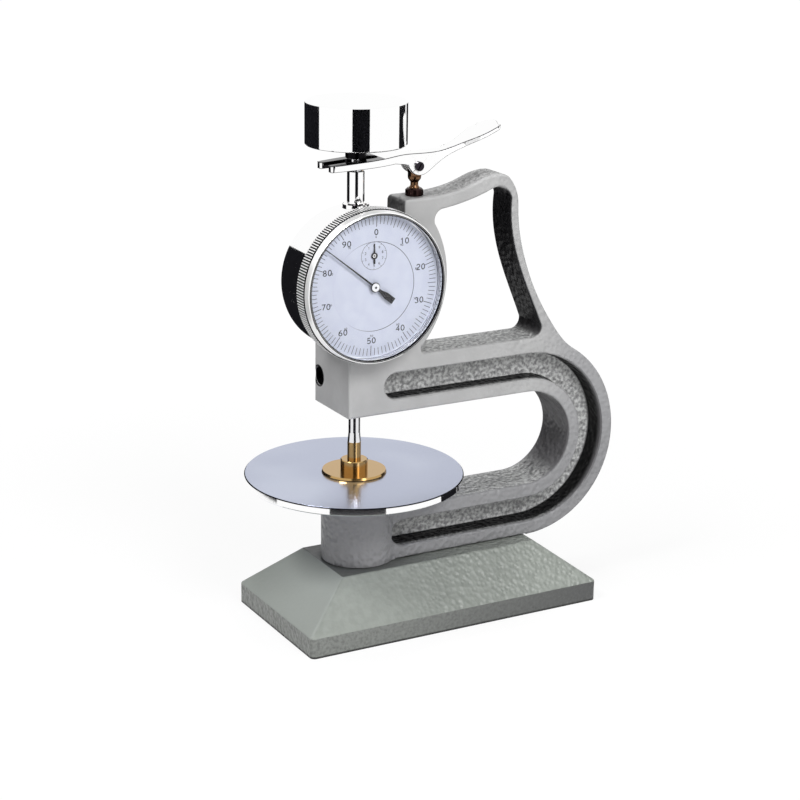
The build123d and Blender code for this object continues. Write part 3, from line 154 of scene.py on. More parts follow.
# Finishes. A colour is written as the eye sees it, from 0 to 255
def seen(red, green, blue):
    """The light values of a colour given as it looks on a screen"""
    values = []
    for level in (red, green, blue):
        share = level / 255
        values.append(share / 12.92 if share <= 0.04045 else ((share + 0.055) / 1.055) ** 2.4)
    return (*values, 1.0)


plate = (0.98, 0.98, 0.98, 1.0)
white = (1.0, 1.0, 1.0, 1.0)


def feed(tree, source, socket):
    """Joins an output to an input, or sets the input if the source is a plain value"""
    if isinstance(source, bpy.types.NodeSocket):
        tree.links.new(source, socket)
    else:
        socket.default_value = source


def arithmetic(tree, operation, *values):
    """One step of arithmetic on outputs or plain values"""
    node = tree.nodes.new("ShaderNodeMath")
    node.operation = operation
    for value, socket in zip(values, node.inputs):
        feed(tree, value, socket)
    return node.outputs[0]


def smooth_range(tree, value, low, high, to_low, to_high):
    """A value's range from low to high, mapped smoothly to another range"""
    node = tree.nodes.new("ShaderNodeMapRange")
    node.interpolation_type = "SMOOTHSTEP"
    feed(tree, value, node.inputs["Value"])
    node.inputs["From Min"].default_value = low
    node.inputs["From Max"].default_value = high
    node.inputs["To Min"].default_value = to_low
    node.inputs["To Max"].default_value = to_high
    return node.outputs["Result"]


def mixed_shader(tree, share, first, second):
    """A shader between two others"""
    node = tree.nodes.new("ShaderNodeMixShader")
    for source, socket in zip((share, first, second), node.inputs):
        tree.links.new(source, socket)
    return node.outputs[0]


class Finish:
    """A material on one Principled shader, with what feeds its sockets added node by node"""

    def __init__(self, name, colour, roughness, metallic=0.0):
        self.material = bpy.data.materials.new(name)
        self.material.use_nodes = True
        self.tree = self.material.node_tree
        self.shader = self.tree.nodes["Principled BSDF"]
        self.set("Base Color", colour)
        self.set("Roughness", roughness)
        self.set("Metallic", metallic)
        self.place = self.add("ShaderNodeTexCoord").outputs["Object"]

    def set(self, socket, source):
        """Feeds one of the shader's sockets"""
        feed(self.tree, source, self.shader.inputs[socket])

    def add(self, kind, **settings):
        """A new node with the given settings"""
        node = self.tree.nodes.new(kind)
        for setting, value in settings.items():
            setattr(node, setting, value)
        return node

    def math(self, operation, *values):
        """One step of arithmetic"""
        return arithmetic(self.tree, operation, *values)

    def all_of(self, first, *others):
        """The product of shares, full only where each of them is"""
        for other in others:
            first = self.math("MULTIPLY", first, other)
        return first

    def any_of(self, first, *others):
        """The largest of several shares"""
        for other in others:
            first = self.math("MAXIMUM", first, other)
        return first

    def above(self, value, limit):
        """Share that is 1 where a value is above a limit"""
        return self.math("GREATER_THAN", value, limit)

    def below(self, value, limit):
        """Share that is 1 where a value is below a limit"""
        return self.math("LESS_THAN", value, limit)

    def spread(self, value, low, high, to_low=0.0, to_high=1.0):
        """A value's range from low to high, mapped smoothly to another range"""
        return smooth_range(self.tree, value, low, high, to_low, to_high)

    def noise(self, size, detail=2.0):
        """Soft noise whose patches are about size millimetres across"""
        node = self.add("ShaderNodeTexNoise")
        feed(self.tree, self.place, node.inputs["Vector"])
        node.inputs["Scale"].default_value = 1.0 / (size * MM)
        node.inputs["Detail"].default_value = detail
        return node.outputs["Fac"]

    def mottle(self, size, detail=2.0, to_low=0.0, to_high=1.0):
        """Patches about size millimetres across, between two values"""
        return self.spread(self.noise(size, detail), 0.3, 0.7, to_low, to_high)

    def dimples(self, size):
        """Rounded cells about size millimetres across, as a height"""
        node = self.add("ShaderNodeTexVoronoi", feature="SMOOTH_F1")
        feed(self.tree, self.place, node.inputs["Vector"])
        node.inputs["Scale"].default_value = 1.0 / (size * MM)
        node.inputs["Smoothness"].default_value = 0.6
        return node.outputs["Distance"]

    def blend(self, share, first, second):
        """A colour between two others"""
        node = self.add("ShaderNodeMix", data_type="RGBA")
        feed(self.tree, share, node.inputs[0])
        feed(self.tree, first, node.inputs[6])
        feed(self.tree, second, node.inputs[7])
        return node.outputs[2]

    def axes(self):
        """The place's X, Y and Z, in metres"""
        node = self.add("ShaderNodeSeparateXYZ")
        feed(self.tree, self.place, node.inputs[0])
        return node.outputs[0], node.outputs[1], node.outputs[2]

    def turned_to(self, axis):
        """How far the surface is turned towards an axis, from -1 to 1"""
        node = self.add("ShaderNodeSeparateXYZ")
        feed(self.tree, self.place.node.outputs["Normal"], node.inputs[0])
        return node.outputs[axis]

    def facing(self, axis):
        """How squarely the surface faces along an axis, either way, from 0 to 1"""
        return self.math("ABSOLUTE", self.turned_to(axis))

    def from_axis(self, across, along, centre_across=0.0, centre_along=0.0):
        """Distance from an axis, in metres"""
        first = self.math("SUBTRACT", across, centre_across)
        second = self.math("SUBTRACT", along, centre_along)
        squares = self.math(
            "ADD", self.math("MULTIPLY", first, first), self.math("MULTIPLY", second, second)
        )
        return self.math("SQRT", squares)

    def bump(self, height, depth, strength=1.0, under=None):
        """Relief of the given depth in millimetres, laid over another relief"""
        node = self.add("ShaderNodeBump")
        node.inputs["Distance"].default_value = depth * MM
        feed(self.tree, strength, node.inputs["Strength"])
        feed(self.tree, height, node.inputs["Height"])
        if under is not None:
            feed(self.tree, under, node.inputs["Normal"])
        return node.outputs["Normal"]

    def waver(self, size=14.0, strength=0.2):
        """Faint unevenness of a polished surface"""
        self.set("Normal", self.bump(self.noise(size, 1.0), 0.02, strength))


def casting_cast(finish, x, depth):
    """Share of the casting left as cast, below its drafted face and behind the clamp block"""
    return finish.all_of(finish.spread(depth, *cast_depth), finish.spread(x, *cast_front_x))


def casting_band_wall(finish, x, z, depth):
    """Share of the casting that is a steep wall of the hollow band, which gets painted shade"""
    beyond_bend = finish.any_of(finish.math("SUBTRACT", x, bend_x), 0.0)
    from_middle = finish.from_axis(beyond_bend, z, 0.0, bend_z)
    from_band = finish.math("ABSOLUTE", finish.math("SUBTRACT", from_middle, band_r))
    in_band = finish.all_of(
        finish.spread(from_band, *band_edge), finish.spread(x, *band_end_x)
    )
    steep = finish.spread(finish.facing("Y"), *band_wall_slant)
    return finish.all_of(steep, finish.spread(depth, *band_wall_depth), in_band)


def casting_colour(finish, x, z, as_cast, inner, band_wall_shade):
    """Grey of the casting, speckled where it is as cast, with painted shade: darker towards the
    bend and low down, dark on its inner walls and nearly black on the walls of the hollow band
    """
    face = finish.blend(finish.mottle(9.0, 3.0), seen(176, 176, 176), seen(183, 183, 183))
    # painted shade: darker towards the bend, and darker low down where the anvil's shadow falls
    face = finish.blend(finish.spread(x, *bend_shade_x), face, seen(158, 158, 160))
    face = finish.blend(finish.spread(z, *low_shade_z), face, seen(145, 145, 147))
    speckles = finish.spread(finish.noise(1.3, 3.0), 0.36, 0.64)
    hollow = finish.blend(speckles, seen(144, 144, 145), seen(206, 207, 206))
    # painted shade: inner walls facing -X, in the throat and the handle opening, darken towards
    # black higher up
    inner_wall_shade = finish.blend(
        finish.spread(z, *inner_wall_z), seen(98, 97, 99), seen(24, 23, 25)
    )
    speckled = finish.all_of(as_cast, finish.spread(z, *speckle_z))
    paint = finish.blend(inner, finish.blend(speckled, face, hollow), inner_wall_shade)
    # painted shade: the steep walls of the hollow band are painted nearly black
    return finish.blend(band_wall_shade, paint, seen(7, 7, 8))


def casting_relief(finish, x, z, as_cast, inner):
    """Hammered relief, deepest where the casting is as cast and slight on its inner walls"""
    rough_land = finish.any_of(
        finish.spread(x, *rough_land_x), finish.spread(z, *rough_land_z)
    )
    hammer = finish.any_of(
        finish.math("MULTIPLY", as_cast, 0.9), finish.math("MULTIPLY", rough_land, 0.5)
    )
    hammer = finish.all_of(hammer, finish.spread(inner, 0.2, 0.9, 1.0, 0.35))
    hammered = finish.bump(finish.dimples(2.0), 1.5, hammer)
    grain = finish.bump(finish.noise(3.2), 0.14, 0.6, hammered)
    return finish.bump(finish.noise(0.8, 3.0), 0.05, 0.6, grain)


def frame_paint():
    """Grey enamel on the casting: smooth on the block and hammered where it is as cast, with
    painted shade nearly black down the walls of the hollow band, and dark on the inner walls and at
    the clamp hole"""
    finish = Finish("frame_paint", seen(184, 185, 184), 0.4)
    x, y, z = finish.axes()
    face_y = finish.math("MULTIPLY_ADD", z, -casting_draft, casting_half_at_bench)
    depth = finish.math("SUBTRACT", face_y, finish.math("ABSOLUTE", y))
    as_cast = casting_cast(finish, x, depth)
    inner = finish.all_of(
        finish.spread(finish.turned_to("X"), *inner_wall_turn), finish.spread(x, *inner_wall_x)
    )
    paint = casting_colour(finish, x, z, as_cast, inner, casting_band_wall(finish, x, z, depth))
    # painted shade: the clamp hole in the block's front is painted nearly black
    from_hole = finish.from_axis(y, z, clamp_hole_y, clamp_hole_z)
    hole_shade = finish.all_of(
        finish.below(x, clamp_hole_rear_x), finish.spread(from_hole, *clamp_hole_edge)
    )
    finish.set("Base Color", finish.blend(hole_shade, paint, seen(14, 14, 15)))
    finish.set("Specular IOR Level", 0.25)
    finish.set("Roughness", finish.mottle(2.5, 2.0, 0.34, 0.46))
    finish.set("Normal", casting_relief(finish, x, z, as_cast, inner))
    return finish.material


def base_paint():
    """Greenish grey enamel of the base, smooth at the front and wrinkled towards the rear, with
    painted light on its end slopes and painted shade on its flat top, its skirt and its foot
    """
    finish = Finish("base_paint", seen(150, 156, 150), 0.4)
    x, _, z = finish.axes()
    slope = finish.blend(finish.mottle(3.0, 3.0), seen(135, 140, 134), seen(143, 148, 142))
    # painted light: slopes facing along X are painted lighter than the front slope
    end_slope_light = finish.spread(finish.facing("Y"), *base_end_slant)
    slope = finish.blend(end_slope_light, slope, seen(157, 162, 157))
    # painted shadow: the level top is dark near the front, under the anvil, and lighter towards the
    # rear
    flat_top_shadow = finish.blend(
        finish.spread(x, *base_top_x), seen(98, 100, 98), seen(136, 140, 135)
    )
    level = finish.spread(finish.facing("Z"), *base_level_slant)
    slope = finish.blend(level, slope, flat_top_shadow)
    # painted shade: the upright skirt darkens towards the right
    skirt = finish.blend(
        finish.spread(x, *base_skirt_x), seen(130, 133, 129), seen(78, 79, 79)
    )
    pitted = finish.math("MULTIPLY", finish.spread(finish.noise(1.3), 0.4, 0.7), 0.45)
    skirt = finish.blend(pitted, skirt, seen(78, 79, 78))
    # painted shade: darkest along the foot, where the base meets the floor
    skirt = finish.blend(finish.spread(z, *base_foot_z), skirt, seen(34, 35, 34))
    upright = finish.spread(finish.facing("Z"), *base_upright_slant)
    finish.set("Base Color", finish.blend(upright, slope, skirt))
    finish.set("Roughness", finish.mottle(2.5, 2.0, 0.34, 0.46))
    wrinkled = finish.any_of(
        finish.spread(x, *base_wrinkle_x, 0.1, 0.95), finish.math("MULTIPLY", upright, 0.8)
    )
    dimples = finish.bump(finish.dimples(1.9), 0.75, wrinkled)
    finish.set("Normal", finish.bump(finish.noise(0.9, 3.0), 0.06, 0.6, dimples))
    return finish.material


def polished(name, colour, roughness, haze=0.03):
    """Plated or polished metal with faint unevenness in its gloss"""
    finish = Finish(name, colour, roughness, 1.0)
    finish.set("Roughness", finish.mottle(6.0, 4.0, roughness - haze / 2, roughness + haze / 2))
    finish.waver(14.0, 0.25)
    return finish.material


def turned(name, colour, roughness, pitch, depth):
    """Metal turned about the upright axis, with fine tool marks"""
    finish = Finish(name, colour, roughness, 1.0)
    x, y, z = finish.axes()
    travel = finish.math("ADD", finish.from_axis(x, y), z)
    wave = finish.math("SINE", finish.math("MULTIPLY", travel, tau / (pitch * MM)))
    finish.set("Roughness", finish.mottle(5.0, 2.0, roughness - 0.02, roughness + 0.03))
    finish.set("Normal", finish.bump(wave, depth, 0.5))
    return finish.material


def lapped_table():
    """Lapped top with a brightly plated rim, and a painted dark reflection along its chamfer"""
    finish = Finish("lapped_anvil", plate, 0.2, 1.0)
    x, y, z = finish.axes()
    cloud = finish.spread(finish.noise(40.0, 1.0), 0.35, 0.65)
    top = finish.blend(cloud, seen(176, 182, 202), seen(188, 194, 212))
    rim = finish.above(finish.from_axis(x, y), anvil_rim_r)
    # painted reflection: the rim's chamfer is painted nearly black
    chamfer = finish.all_of(rim, finish.above(z, anvil_chamfer_z))
    colour = finish.blend(chamfer, finish.blend(rim, top, plate), seen(14, 14, 18))
    finish.set("Base Color", colour)
    finish.set("Roughness", finish.spread(rim, 0.0, 1.0, 0.2, 0.06))
    finish.waver()
    return finish.material


def dial_sheet():
    """Satin lavender dial"""
    finish = Finish("dial_face", seen(210, 215, 235), 0.5)
    colour = finish.blend(finish.mottle(5.0), seen(200, 205, 223), seen(206, 211, 227))
    finish.set("Base Color", colour)
    finish.set("Normal", finish.bump(finish.noise(0.12), 0.004, 0.5))
    return finish.material


def enamel(name, colour, roughness):
    """Thin even enamel or printing ink"""
    finish = Finish(name, colour, roughness)
    finish.set("Roughness", finish.mottle(0.6, 2.0, roughness - 0.06, roughness + 0.06))
    finish.set("Normal", finish.bump(finish.noise(0.2), 0.004, 0.4))
    return finish.material


def crystal_glass():
    """Clear glass that lets the light of the lamps and of the dial through"""
    finish = Finish("crystal_glass", white, 0.0)
    finish.set("Transmission Weight", 1.0)
    finish.set("IOR", 1.18)
    rays = finish.add("ShaderNodeLightPath").outputs
    clear = finish.add("ShaderNodeBsdfTransparent").outputs[0]
    surface = finish.shader.outputs[0]
    for kind in ("Is Shadow Ray", "Is Diffuse Ray"):
        surface = mixed_shader(finish.tree, rays[kind], surface, clear)
    feed(finish.tree, surface, finish.tree.nodes["Material Output"].inputs["Surface"])
    return finish.material


def lever_metal():
    """Plated lever, with painted shade and reflection darkening the top of its fork and the fork's
    inner walls
    """
    finish = Finish("lever_chrome", plate, 0.06, 1.0)
    x, y, z = finish.axes()
    inside = finish.below(finish.math("ABSOLUTE", y), fork_wall_y)
    level = finish.above(finish.facing("Z"), fork_level_slant)
    fork = finish.all_of(finish.below(x, fork_end_x), finish.above(z, fork_low_z))
    # painted shade and reflection: the fork's top and inner walls, under the dark weight, are
    # painted dark
    walls = finish.all_of(finish.any_of(inside, level), fork)
    finish.set("Base Color", finish.blend(walls, plate, seen(34, 32, 34)))
    ears = finish.all_of(finish.below(z, ear_top_z), finish.below(x, ear_middle_x))
    paddle_side = finish.all_of(
        finish.spread(finish.facing("Y"), *paddle_side_slant), finish.above(x, paddle_x)
    )
    satin = finish.math("MULTIPLY", finish.any_of(ears, paddle_side), 0.7)
    finish.set("Metallic", finish.math("SUBTRACT", 1.0, satin))
    finish.waver(10.0, 0.25)
    return finish.material


def bezel_metal():
    """Plated bezel with a satin lip, and painted shade: dark lines at the grooves and edges of its
    front, a dark side groove and a dark mouth inside
    """
    finish = Finish("bezel_chrome", plate, 0.06, 1.0)
    x, y, z = finish.axes()
    radius = finish.from_axis(x, z, 0.0, dial_centre.z)
    lines = 0.0
    for line_r, half_wide in bezel_lines:
        off = finish.math("ABSOLUTE", finish.math("SUBTRACT", radius, line_r))
        line = finish.spread(off, half_wide + bezel_line_edge, half_wide)
        lines = finish.any_of(lines, line)
    front = finish.below(y, bezel_line_rear_y)
    groove_front_y, groove_rear_y = bezel_groove_y
    groove = finish.all_of(finish.above(y, groove_front_y), finish.below(y, groove_rear_y))
    mouth = finish.all_of(finish.below(radius, bezel_mouth_r), finish.below(y, bezel_mouth_y))
    # painted shade and reflection: dark lines on the front, a dark side groove and a dark mouth
    dark = finish.any_of(finish.all_of(lines, front), groove, mouth)
    finish.set("Base Color", finish.blend(dark, plate, seen(20, 20, 24)))
    lip = finish.all_of(finish.above(radius, bezel_lip_r), finish.below(y, bezel_lip_y))
    finish.set("Metallic", finish.math("SUBTRACT", 1.0, finish.math("MULTIPLY", lip, 0.65)))
    finish.set("Roughness", finish.spread(lip, 0.0, 1.0, 0.06, 0.24))
    finish.waver()
    return finish.material


def weight_metal():
    """Plated weight, machined underneath, where painted shade darkens it"""
    finish = Finish("weight_chrome", plate, 0.04, 1.0)
    # painted shade: the underside is painted dark
    under = finish.below(finish.axes()[2], weight_under_z)
    finish.set("Base Color", finish.blend(under, plate, seen(46, 44, 46)))
    finish.waver()
    return finish.material


def paint_nodes(material, *names):
    """Gives CAD nodes their finish"""
    for name in names:
        slots = nodes[name].data.materials
        slots.clear()
        slots.append(material)


chrome = polished("chrome", plate, 0.05)
bright_steel = polished("bright_steel", (0.80, 0.80, 0.82, 1.0), 0.09)
dark_steel = polished("dark_screw_steel", seen(58, 42, 40), 0.22, 0.08)
brass = turned("brass", seen(188, 154, 100), 0.15, pitch=0.5, depth=0.004)
dial_face = dial_sheet()
ink = enamel("dial_ink", seen(24, 26, 34), 0.5)
black_enamel = enamel("hand_enamel", seen(22, 22, 28), 0.3)
white_cap = enamel("hub_white", seen(240, 240, 244), 0.25)

paint_nodes(frame_paint(), "frame_casting")
paint_nodes(base_paint(), "base")
paint_nodes(dark_steel, "frame_bolts", "anvil_grub_screw", "lever_lock_nut")
paint_nodes(
    polished("black_screw_steel", seen(20, 19, 21), 0.3, 0.08), "clamp_screw", "weight_collar"
)
paint_nodes(lapped_table(), "anvil_plate")
paint_nodes(chrome, "gauge_case", "gauge_back_cover", "bezel", "upper_guide_tube")
paint_nodes(lever_metal(), "lifting_lever")
paint_nodes(weight_metal(), "dead_weight")
paint_nodes(
    bright_steel, "back_cover_screws", "gauge_stem", "spindle", "spindle_guide_pin",
    "movement_screws", "bezel_spring_ring",
    "rack_pinion_arbor", "centre_arbor", "counter_arbor",
)
paint_nodes(
    brass, "presser_foot", "lower_bush", "upper_bush", "movement_front_plate",
    "centre_bridge", "movement_rear_plate", "movement_pillars", "rack_wheel",
    "counter_wheel",
)
paint_nodes(polished("blued_screw_steel", seen(48, 44, 50), 0.16, 0.06), "lever_pivot_screw")
paint_nodes(polished("bronzed_brass", seen(112, 84, 62), 0.18, 0.08), "lever_post")
paint_nodes(dial_face, "dial_centre", "scale_ring")
paint_nodes(black_enamel, "main_hand", "counter_hand")
paint_nodes(white_cap, "main_hand_boss")
paint_nodes(crystal_glass(), "crystal")


# Pieces that are added to the frame
def new_piece(name, mesh, material, body):
    """Turns a finished bmesh into a piece that rides on a body"""
    bmesh.ops.recalc_face_normals(mesh, faces=mesh.faces)
    data = bpy.data.meshes.new(name)
    mesh.to_mesh(data)
    mesh.free()
    piece = bpy.data.objects.new(name, data)
    bpy.context.scene.collection.objects.link(piece)
    data.materials.append(material)
    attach(piece, body)
    return piece


# Sizes of what is printed on the dial
print_height = 0.02 * MM
scale_turn = radians(2.4)
tick_turn = radians(3.6)
tenth_turn = radians(36.0)
tick_outer_r = 26.5 * MM
tick_inner_r = (23.7 * MM, 23.1 * MM, 22.7 * MM)
tick_width = (0.19 * MM, 0.20 * MM, 0.24 * MM)
numeral_r = 20.7 * MM
numeral_height = 2.3 * MM
mark_r = 18.85 * MM
mark_height = 0.8 * MM
numeral_widen = 1.12
# The step line is a thin sheet of painted shade, not print: its radius, its width and where it
# darkens
dial_step_r = 17.05 * MM
dial_step_width = 0.2 * MM
dial_step_x = (-14.0 * MM, 4.0 * MM)
counter_ring_r = 5.3 * MM
counter_line = 0.12 * MM
counter_tick = 0.6 * MM
counter_numeral_r = 3.75 * MM
counter_numeral_height = 1.0 * MM

def on_dial(centre, radius, turn):
    """The point of the dial at a radius, turned clockwise from the top"""
    return centre + Vector((radius * sin(turn), 0.0, radius * cos(turn)))


def add_bar(mesh, centre, inner_r, outer_r, width, turn):
    """A thin printed bar along a radius of the dial"""
    middle = on_dial(centre, (inner_r + outer_r) / 2, turn)
    place = (
        Matrix.Translation(middle - Vector((0.0, print_height / 2, 0.0)))
        @ Matrix.Rotation(turn, 4, "Y")
        @ Matrix.Diagonal((width, print_height, outer_r - inner_r, 1.0))
    )
    bmesh.ops.create_cube(mesh, size=1.0, matrix=place)


def add_ring(mesh, centre, radius, width, steps=96):
    """A thin printed circle on the dial"""
    rings = []
    for r in (radius - width / 2, radius + width / 2):
        for y in (centre.y, centre.y - print_height):
            rings.append([
                mesh.verts.new((centre.x + r * sin(tau * i / steps), y,
                                centre.z + r * cos(tau * i / steps)))
                for i in range(steps)
            ])
    back_in, front_in, back_out, front_out = rings
    for a, b in ((back_in, front_in), (front_in, front_out), (front_out, back_out),
                 (back_out, back_in)):
        for i in range(steps):
            j = (i + 1) % steps
            mesh.faces.new((a[i], a[j], b[j], b[i]))


def arc(centre_u, centre_v, half_wide, half_high, start, end, steps=14):
    """Points of part of an ellipse, from one angle to another in degrees"""
    points = []
    for i in range(steps + 1):
        angle = radians(start + (end - start) * i / steps)
        points.append((centre_u + half_wide * cos(angle), centre_v + half_high * sin(angle)))
    return points


# Strokes of the figures, in a box one unit high with its corner at the origin
figure_wide = 0.62
six = (arc(0.31, 0.30, 0.25, 0.24, 0, 360, 24), arc(0.58, 0.30, 0.52, 0.65, 100, 178))
figures = {
    "0": (arc(0.31, 0.5, 0.25, 0.44, 0, 360, 28),),
    "1": ([(0.14, 0.76), (0.34, 0.94), (0.34, 0.06)],),
    "2": (arc(0.30, 0.69, 0.24, 0.25, 170, -35) + [(0.06, 0.06), (0.56, 0.06)],),
    "3": (arc(0.28, 0.72, 0.22, 0.22, 150, -80), arc(0.28, 0.28, 0.26, 0.22, 80, -150)),
    "4": ([(0.44, 0.06), (0.44, 0.94), (0.05, 0.32), (0.60, 0.32)],),
    "5": ([(0.52, 0.94), (0.14, 0.94), (0.10, 0.50)] + arc(0.30, 0.34, 0.26, 0.28, 135, -150),),
    "6": six,
    "7": ([(0.05, 0.94), (0.57, 0.94), (0.24, 0.06)],),
    "8": (arc(0.31, 0.73, 0.20, 0.21, 0, 360, 22), arc(0.31, 0.28, 0.25, 0.22, 0, 360, 24)),
    "9": tuple([(figure_wide - u, 1.0 - v) for u, v in stroke] for stroke in six),
}
figure_step = 0.80
stroke_half = 0.072


def add_stroke(mesh, points, half_wide, place):
    """A thin printed ribbon along a line of points, closed if its ends meet"""
    closed = (Vector(points[0]) - Vector(points[-1])).length < 1e-6
    if closed:
        points = points[:-1]
    count = len(points)
    sections = []
    for i, point in enumerate(points):
        before = Vector(points[i - 1] if closed or i else points[i])
        after = Vector(points[(i + 1) % count] if closed or i + 1 < count else points[i])
        into = (Vector(point) - before).normalized() if before != Vector(point) else None
        out = (after - Vector(point)).normalized() if after != Vector(point) else None
        along = ((into or out) + (out or into)).normalized()
        across = Vector((-along.y, along.x))
        reach = half_wide / max(abs(along.dot(into or out)), 0.5)
        section = []
        for side, height in ((1, 0.0), (-1, 0.0), (-1, print_height), (1, print_height)):
            u, v = Vector(point) + across * reach * side
            section.append(mesh.verts.new(place(u, v, height)))
        sections.append(section)
    pairs = list(zip(sections, sections[1:]))
    if closed:
        pairs.append((sections[-1], sections[0]))
    else:
        mesh.faces.new(sections[0])
        mesh.faces.new(sections[-1][::-1])
    for first, second in pairs:
        for k in range(4):
            mesh.faces.new((first[k], second[k], second[(k + 1) % 4], first[(k + 1) % 4]))


def add_figures(mesh, words, centre, height, widen=1.0):
    """Printed figures, upright and centred on a point of the dial"""
    length = (len(words) - 1) * figure_step + figure_wide
    for index, character in enumerate(words):
        def place(u, v, lift):
            across = (u + index * figure_step - length / 2) * height * widen
            return centre + Vector((across, -lift, (v - 0.5) * height))
        for stroke in figures[character]:
            add_stroke(mesh, stroke, stroke_half, place)


def scale_print():
    """Hundred graduations, their numerals and a small mark under each"""
    ticks = bmesh.new()
    for step in range(100):
        rank = 2 if step % 10 == 0 else 1 if step % 5 == 0 else 0
        add_bar(ticks, dial_centre, tick_inner_r[rank], tick_outer_r, tick_width[rank],
                scale_turn + tick_turn * step)
    new_piece("scale_graduations", ticks, ink, "bezel_group")
    for name, radius, height, way in (
        ("scale_numerals", numeral_r, numeral_height, 1),
        ("scale_small_numerals", mark_r, mark_height, -1),
    ):
        numerals = bmesh.new()
        for tens in range(10):
            centre = on_dial(dial_centre, radius, scale_turn + tenth_turn * tens)
            add_figures(numerals, str(way * tens % 10 * 10), centre, height, numeral_widen)
        new_piece(name, numerals, ink, "bezel_group")


def dial_step():
    """Painted shade along the step between the turning ring and the middle of the dial, darker on
    the right
    """
    finish = Finish("dial_step", seen(60, 62, 74), 0.5)
    rightwards = finish.spread(finish.axes()[0], *dial_step_x)
    finish.set("Base Color", finish.blend(rightwards, seen(196, 200, 220), seen(40, 42, 52)))
    mesh = bmesh.new()
    add_ring(mesh, dial_centre, dial_step_r, dial_step_width, 144)
    new_piece("step_shade_line", mesh, finish.material, "stand")


def counter_print():
    """The small dial that counts whole turns"""
    ring = bmesh.new()
    add_ring(ring, counter_centre, counter_ring_r, counter_line)
    numerals = bmesh.new()
    for step in range(10):
        add_bar(ring, counter_centre, counter_ring_r - counter_tick, counter_ring_r,
                counter_line, tenth_turn * step)
        centre = on_dial(counter_centre, counter_numeral_r, -tenth_turn * step)
        add_figures(numerals, str(step), centre, counter_numeral_height)
    new_piece("counter_graduations", ring, ink, "stand")
    new_piece("counter_numerals", numerals, ink, "stand")


def ridged_ring(ridges, root_r, tip_r, inner_r, length):
    """A closed ring about Z with straight flat-topped ridges round its outside"""
    mesh = bmesh.new()
    corners = 4 * ridges
    rings = []
    for z in (0.0, length):
        for kind in ("inner", "outer"):
            ring = []
            for i in range(corners):
                angle = tau * (i + (0.25 if i % 2 else -0.25)) / corners
                r = inner_r if kind == "inner" else (tip_r if i % 4 < 2 else root_r)
                ring.append(mesh.verts.new((r * cos(angle), r * sin(angle), z)))
            rings.append(ring)
    low_in, low_out, high_in, high_out = rings
    for a, b in ((low_in, low_out), (low_out, high_out), (high_out, high_in),
                 (high_in, low_in)):
        for i in range(corners):
            j = (i + 1) % corners
            mesh.faces.new((a[i], a[j], b[j], b[i]))
    return mesh


# Sizes of the knurled edges: how deep they start in the metal, and the bezel's and the nut's own
knurl_inside = 0.3 * MM
knurl_root = 0.02 * MM
knurl_rear_y = -10.1 * MM
knurl_front_y = -15.3 * MM
knurl_ridges = 180
knurl_rise = 0.42 * MM
# knurl_groove_depth: how far under the ridge tops the painted shade of the grooves starts and ends
knurl_groove_depth = (0.2 * MM, 0.08 * MM)
nut_ridges = 36
nut_rise = 0.25 * MM
nut_plain_edge = 0.2 * MM
nut_plain_edges = 0.9 * MM
skirt_r = (bezel_high.x - bezel_low.x) / 2


def knurl_metal():
    """Bright ridges, with painted shade nearly black in the grooves between them"""
    finish = Finish("knurl_chrome", plate, 0.35)
    x, _, z = finish.axes()
    radius = finish.from_axis(x, z, 0.0, dial_centre.z)
    tip_r = skirt_r + knurl_rise
    # painted shade: dark down in the grooves, plate on the ridge tops
    top = finish.spread(radius, *(tip_r - depth for depth in knurl_groove_depth))
    finish.set("Base Color", finish.blend(top, seen(10, 10, 12), plate))
    finish.set("Metallic", finish.math("MULTIPLY", top, 0.3))
    finish.set("Specular IOR Level", 0.15)
    finish.set("Normal", finish.bump(finish.noise(0.8), 0.02, 0.4))
    return finish.material


# The bezel's section as distances from its axis and places along it, round from its rear edge
bezel_section = (
    (26.45, -10.0), (28.9, -10.0), (29.2, -10.3), (29.2, -15.35), (29.0, -15.45), (29.0, -15.65),
    (29.16, -15.75), (28.82, -18.0), (28.74, -18.3), (28.56, -18.55), (28.35, -18.65),
    (28.24, -18.65), (28.2, -18.45), (28.04, -18.45), (28.0, -18.7), (27.8, -18.7),
    (27.5, -18.4), (27.5, -13.9), (24.6, -13.9), (24.6, -13.1), (26.45, -13.1),
    (26.45, -12.1), (26.85, -12.1), (26.85, -10.9), (26.45, -10.9),
)


def bezel_shell():
    """The bezel with its leaning lip and the fine grooves in its front"""
    mesh = bmesh.new()
    steps = 180
    rings = [
        [mesh.verts.new((r * MM * sin(tau * i / steps), y * MM,
                         dial_centre.z + r * MM * cos(tau * i / steps))) for i in range(steps)]
        for r, y in bezel_section
    ]
    for a, b in zip(rings, rings[1:] + rings[:1]):
        for i in range(steps):
            j = (i + 1) % steps
            mesh.faces.new((a[i], a[j], b[j], b[i]))
    shell = new_piece("bezel_shell", mesh, bezel_metal(), "bezel_group")
    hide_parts("bezel")
    for face in shell.data.polygons:
        face.use_smooth = True
    shell.data.set_sharp_from_angle(angle=radians(25))


def bezel_knurl():
    """Coin edge round the bezel's skirt"""
    mesh = ridged_ring(knurl_ridges, skirt_r + knurl_root, skirt_r + knurl_rise,
                       skirt_r - knurl_inside, knurl_rear_y - knurl_front_y)
    mesh.transform(
        Matrix.Translation((0.0, knurl_rear_y, dial_centre.z)) @ Matrix.Rotation(pi / 2, 4, "X")
    )
    new_piece("bezel_knurl", mesh, knurl_metal(), "bezel_group")


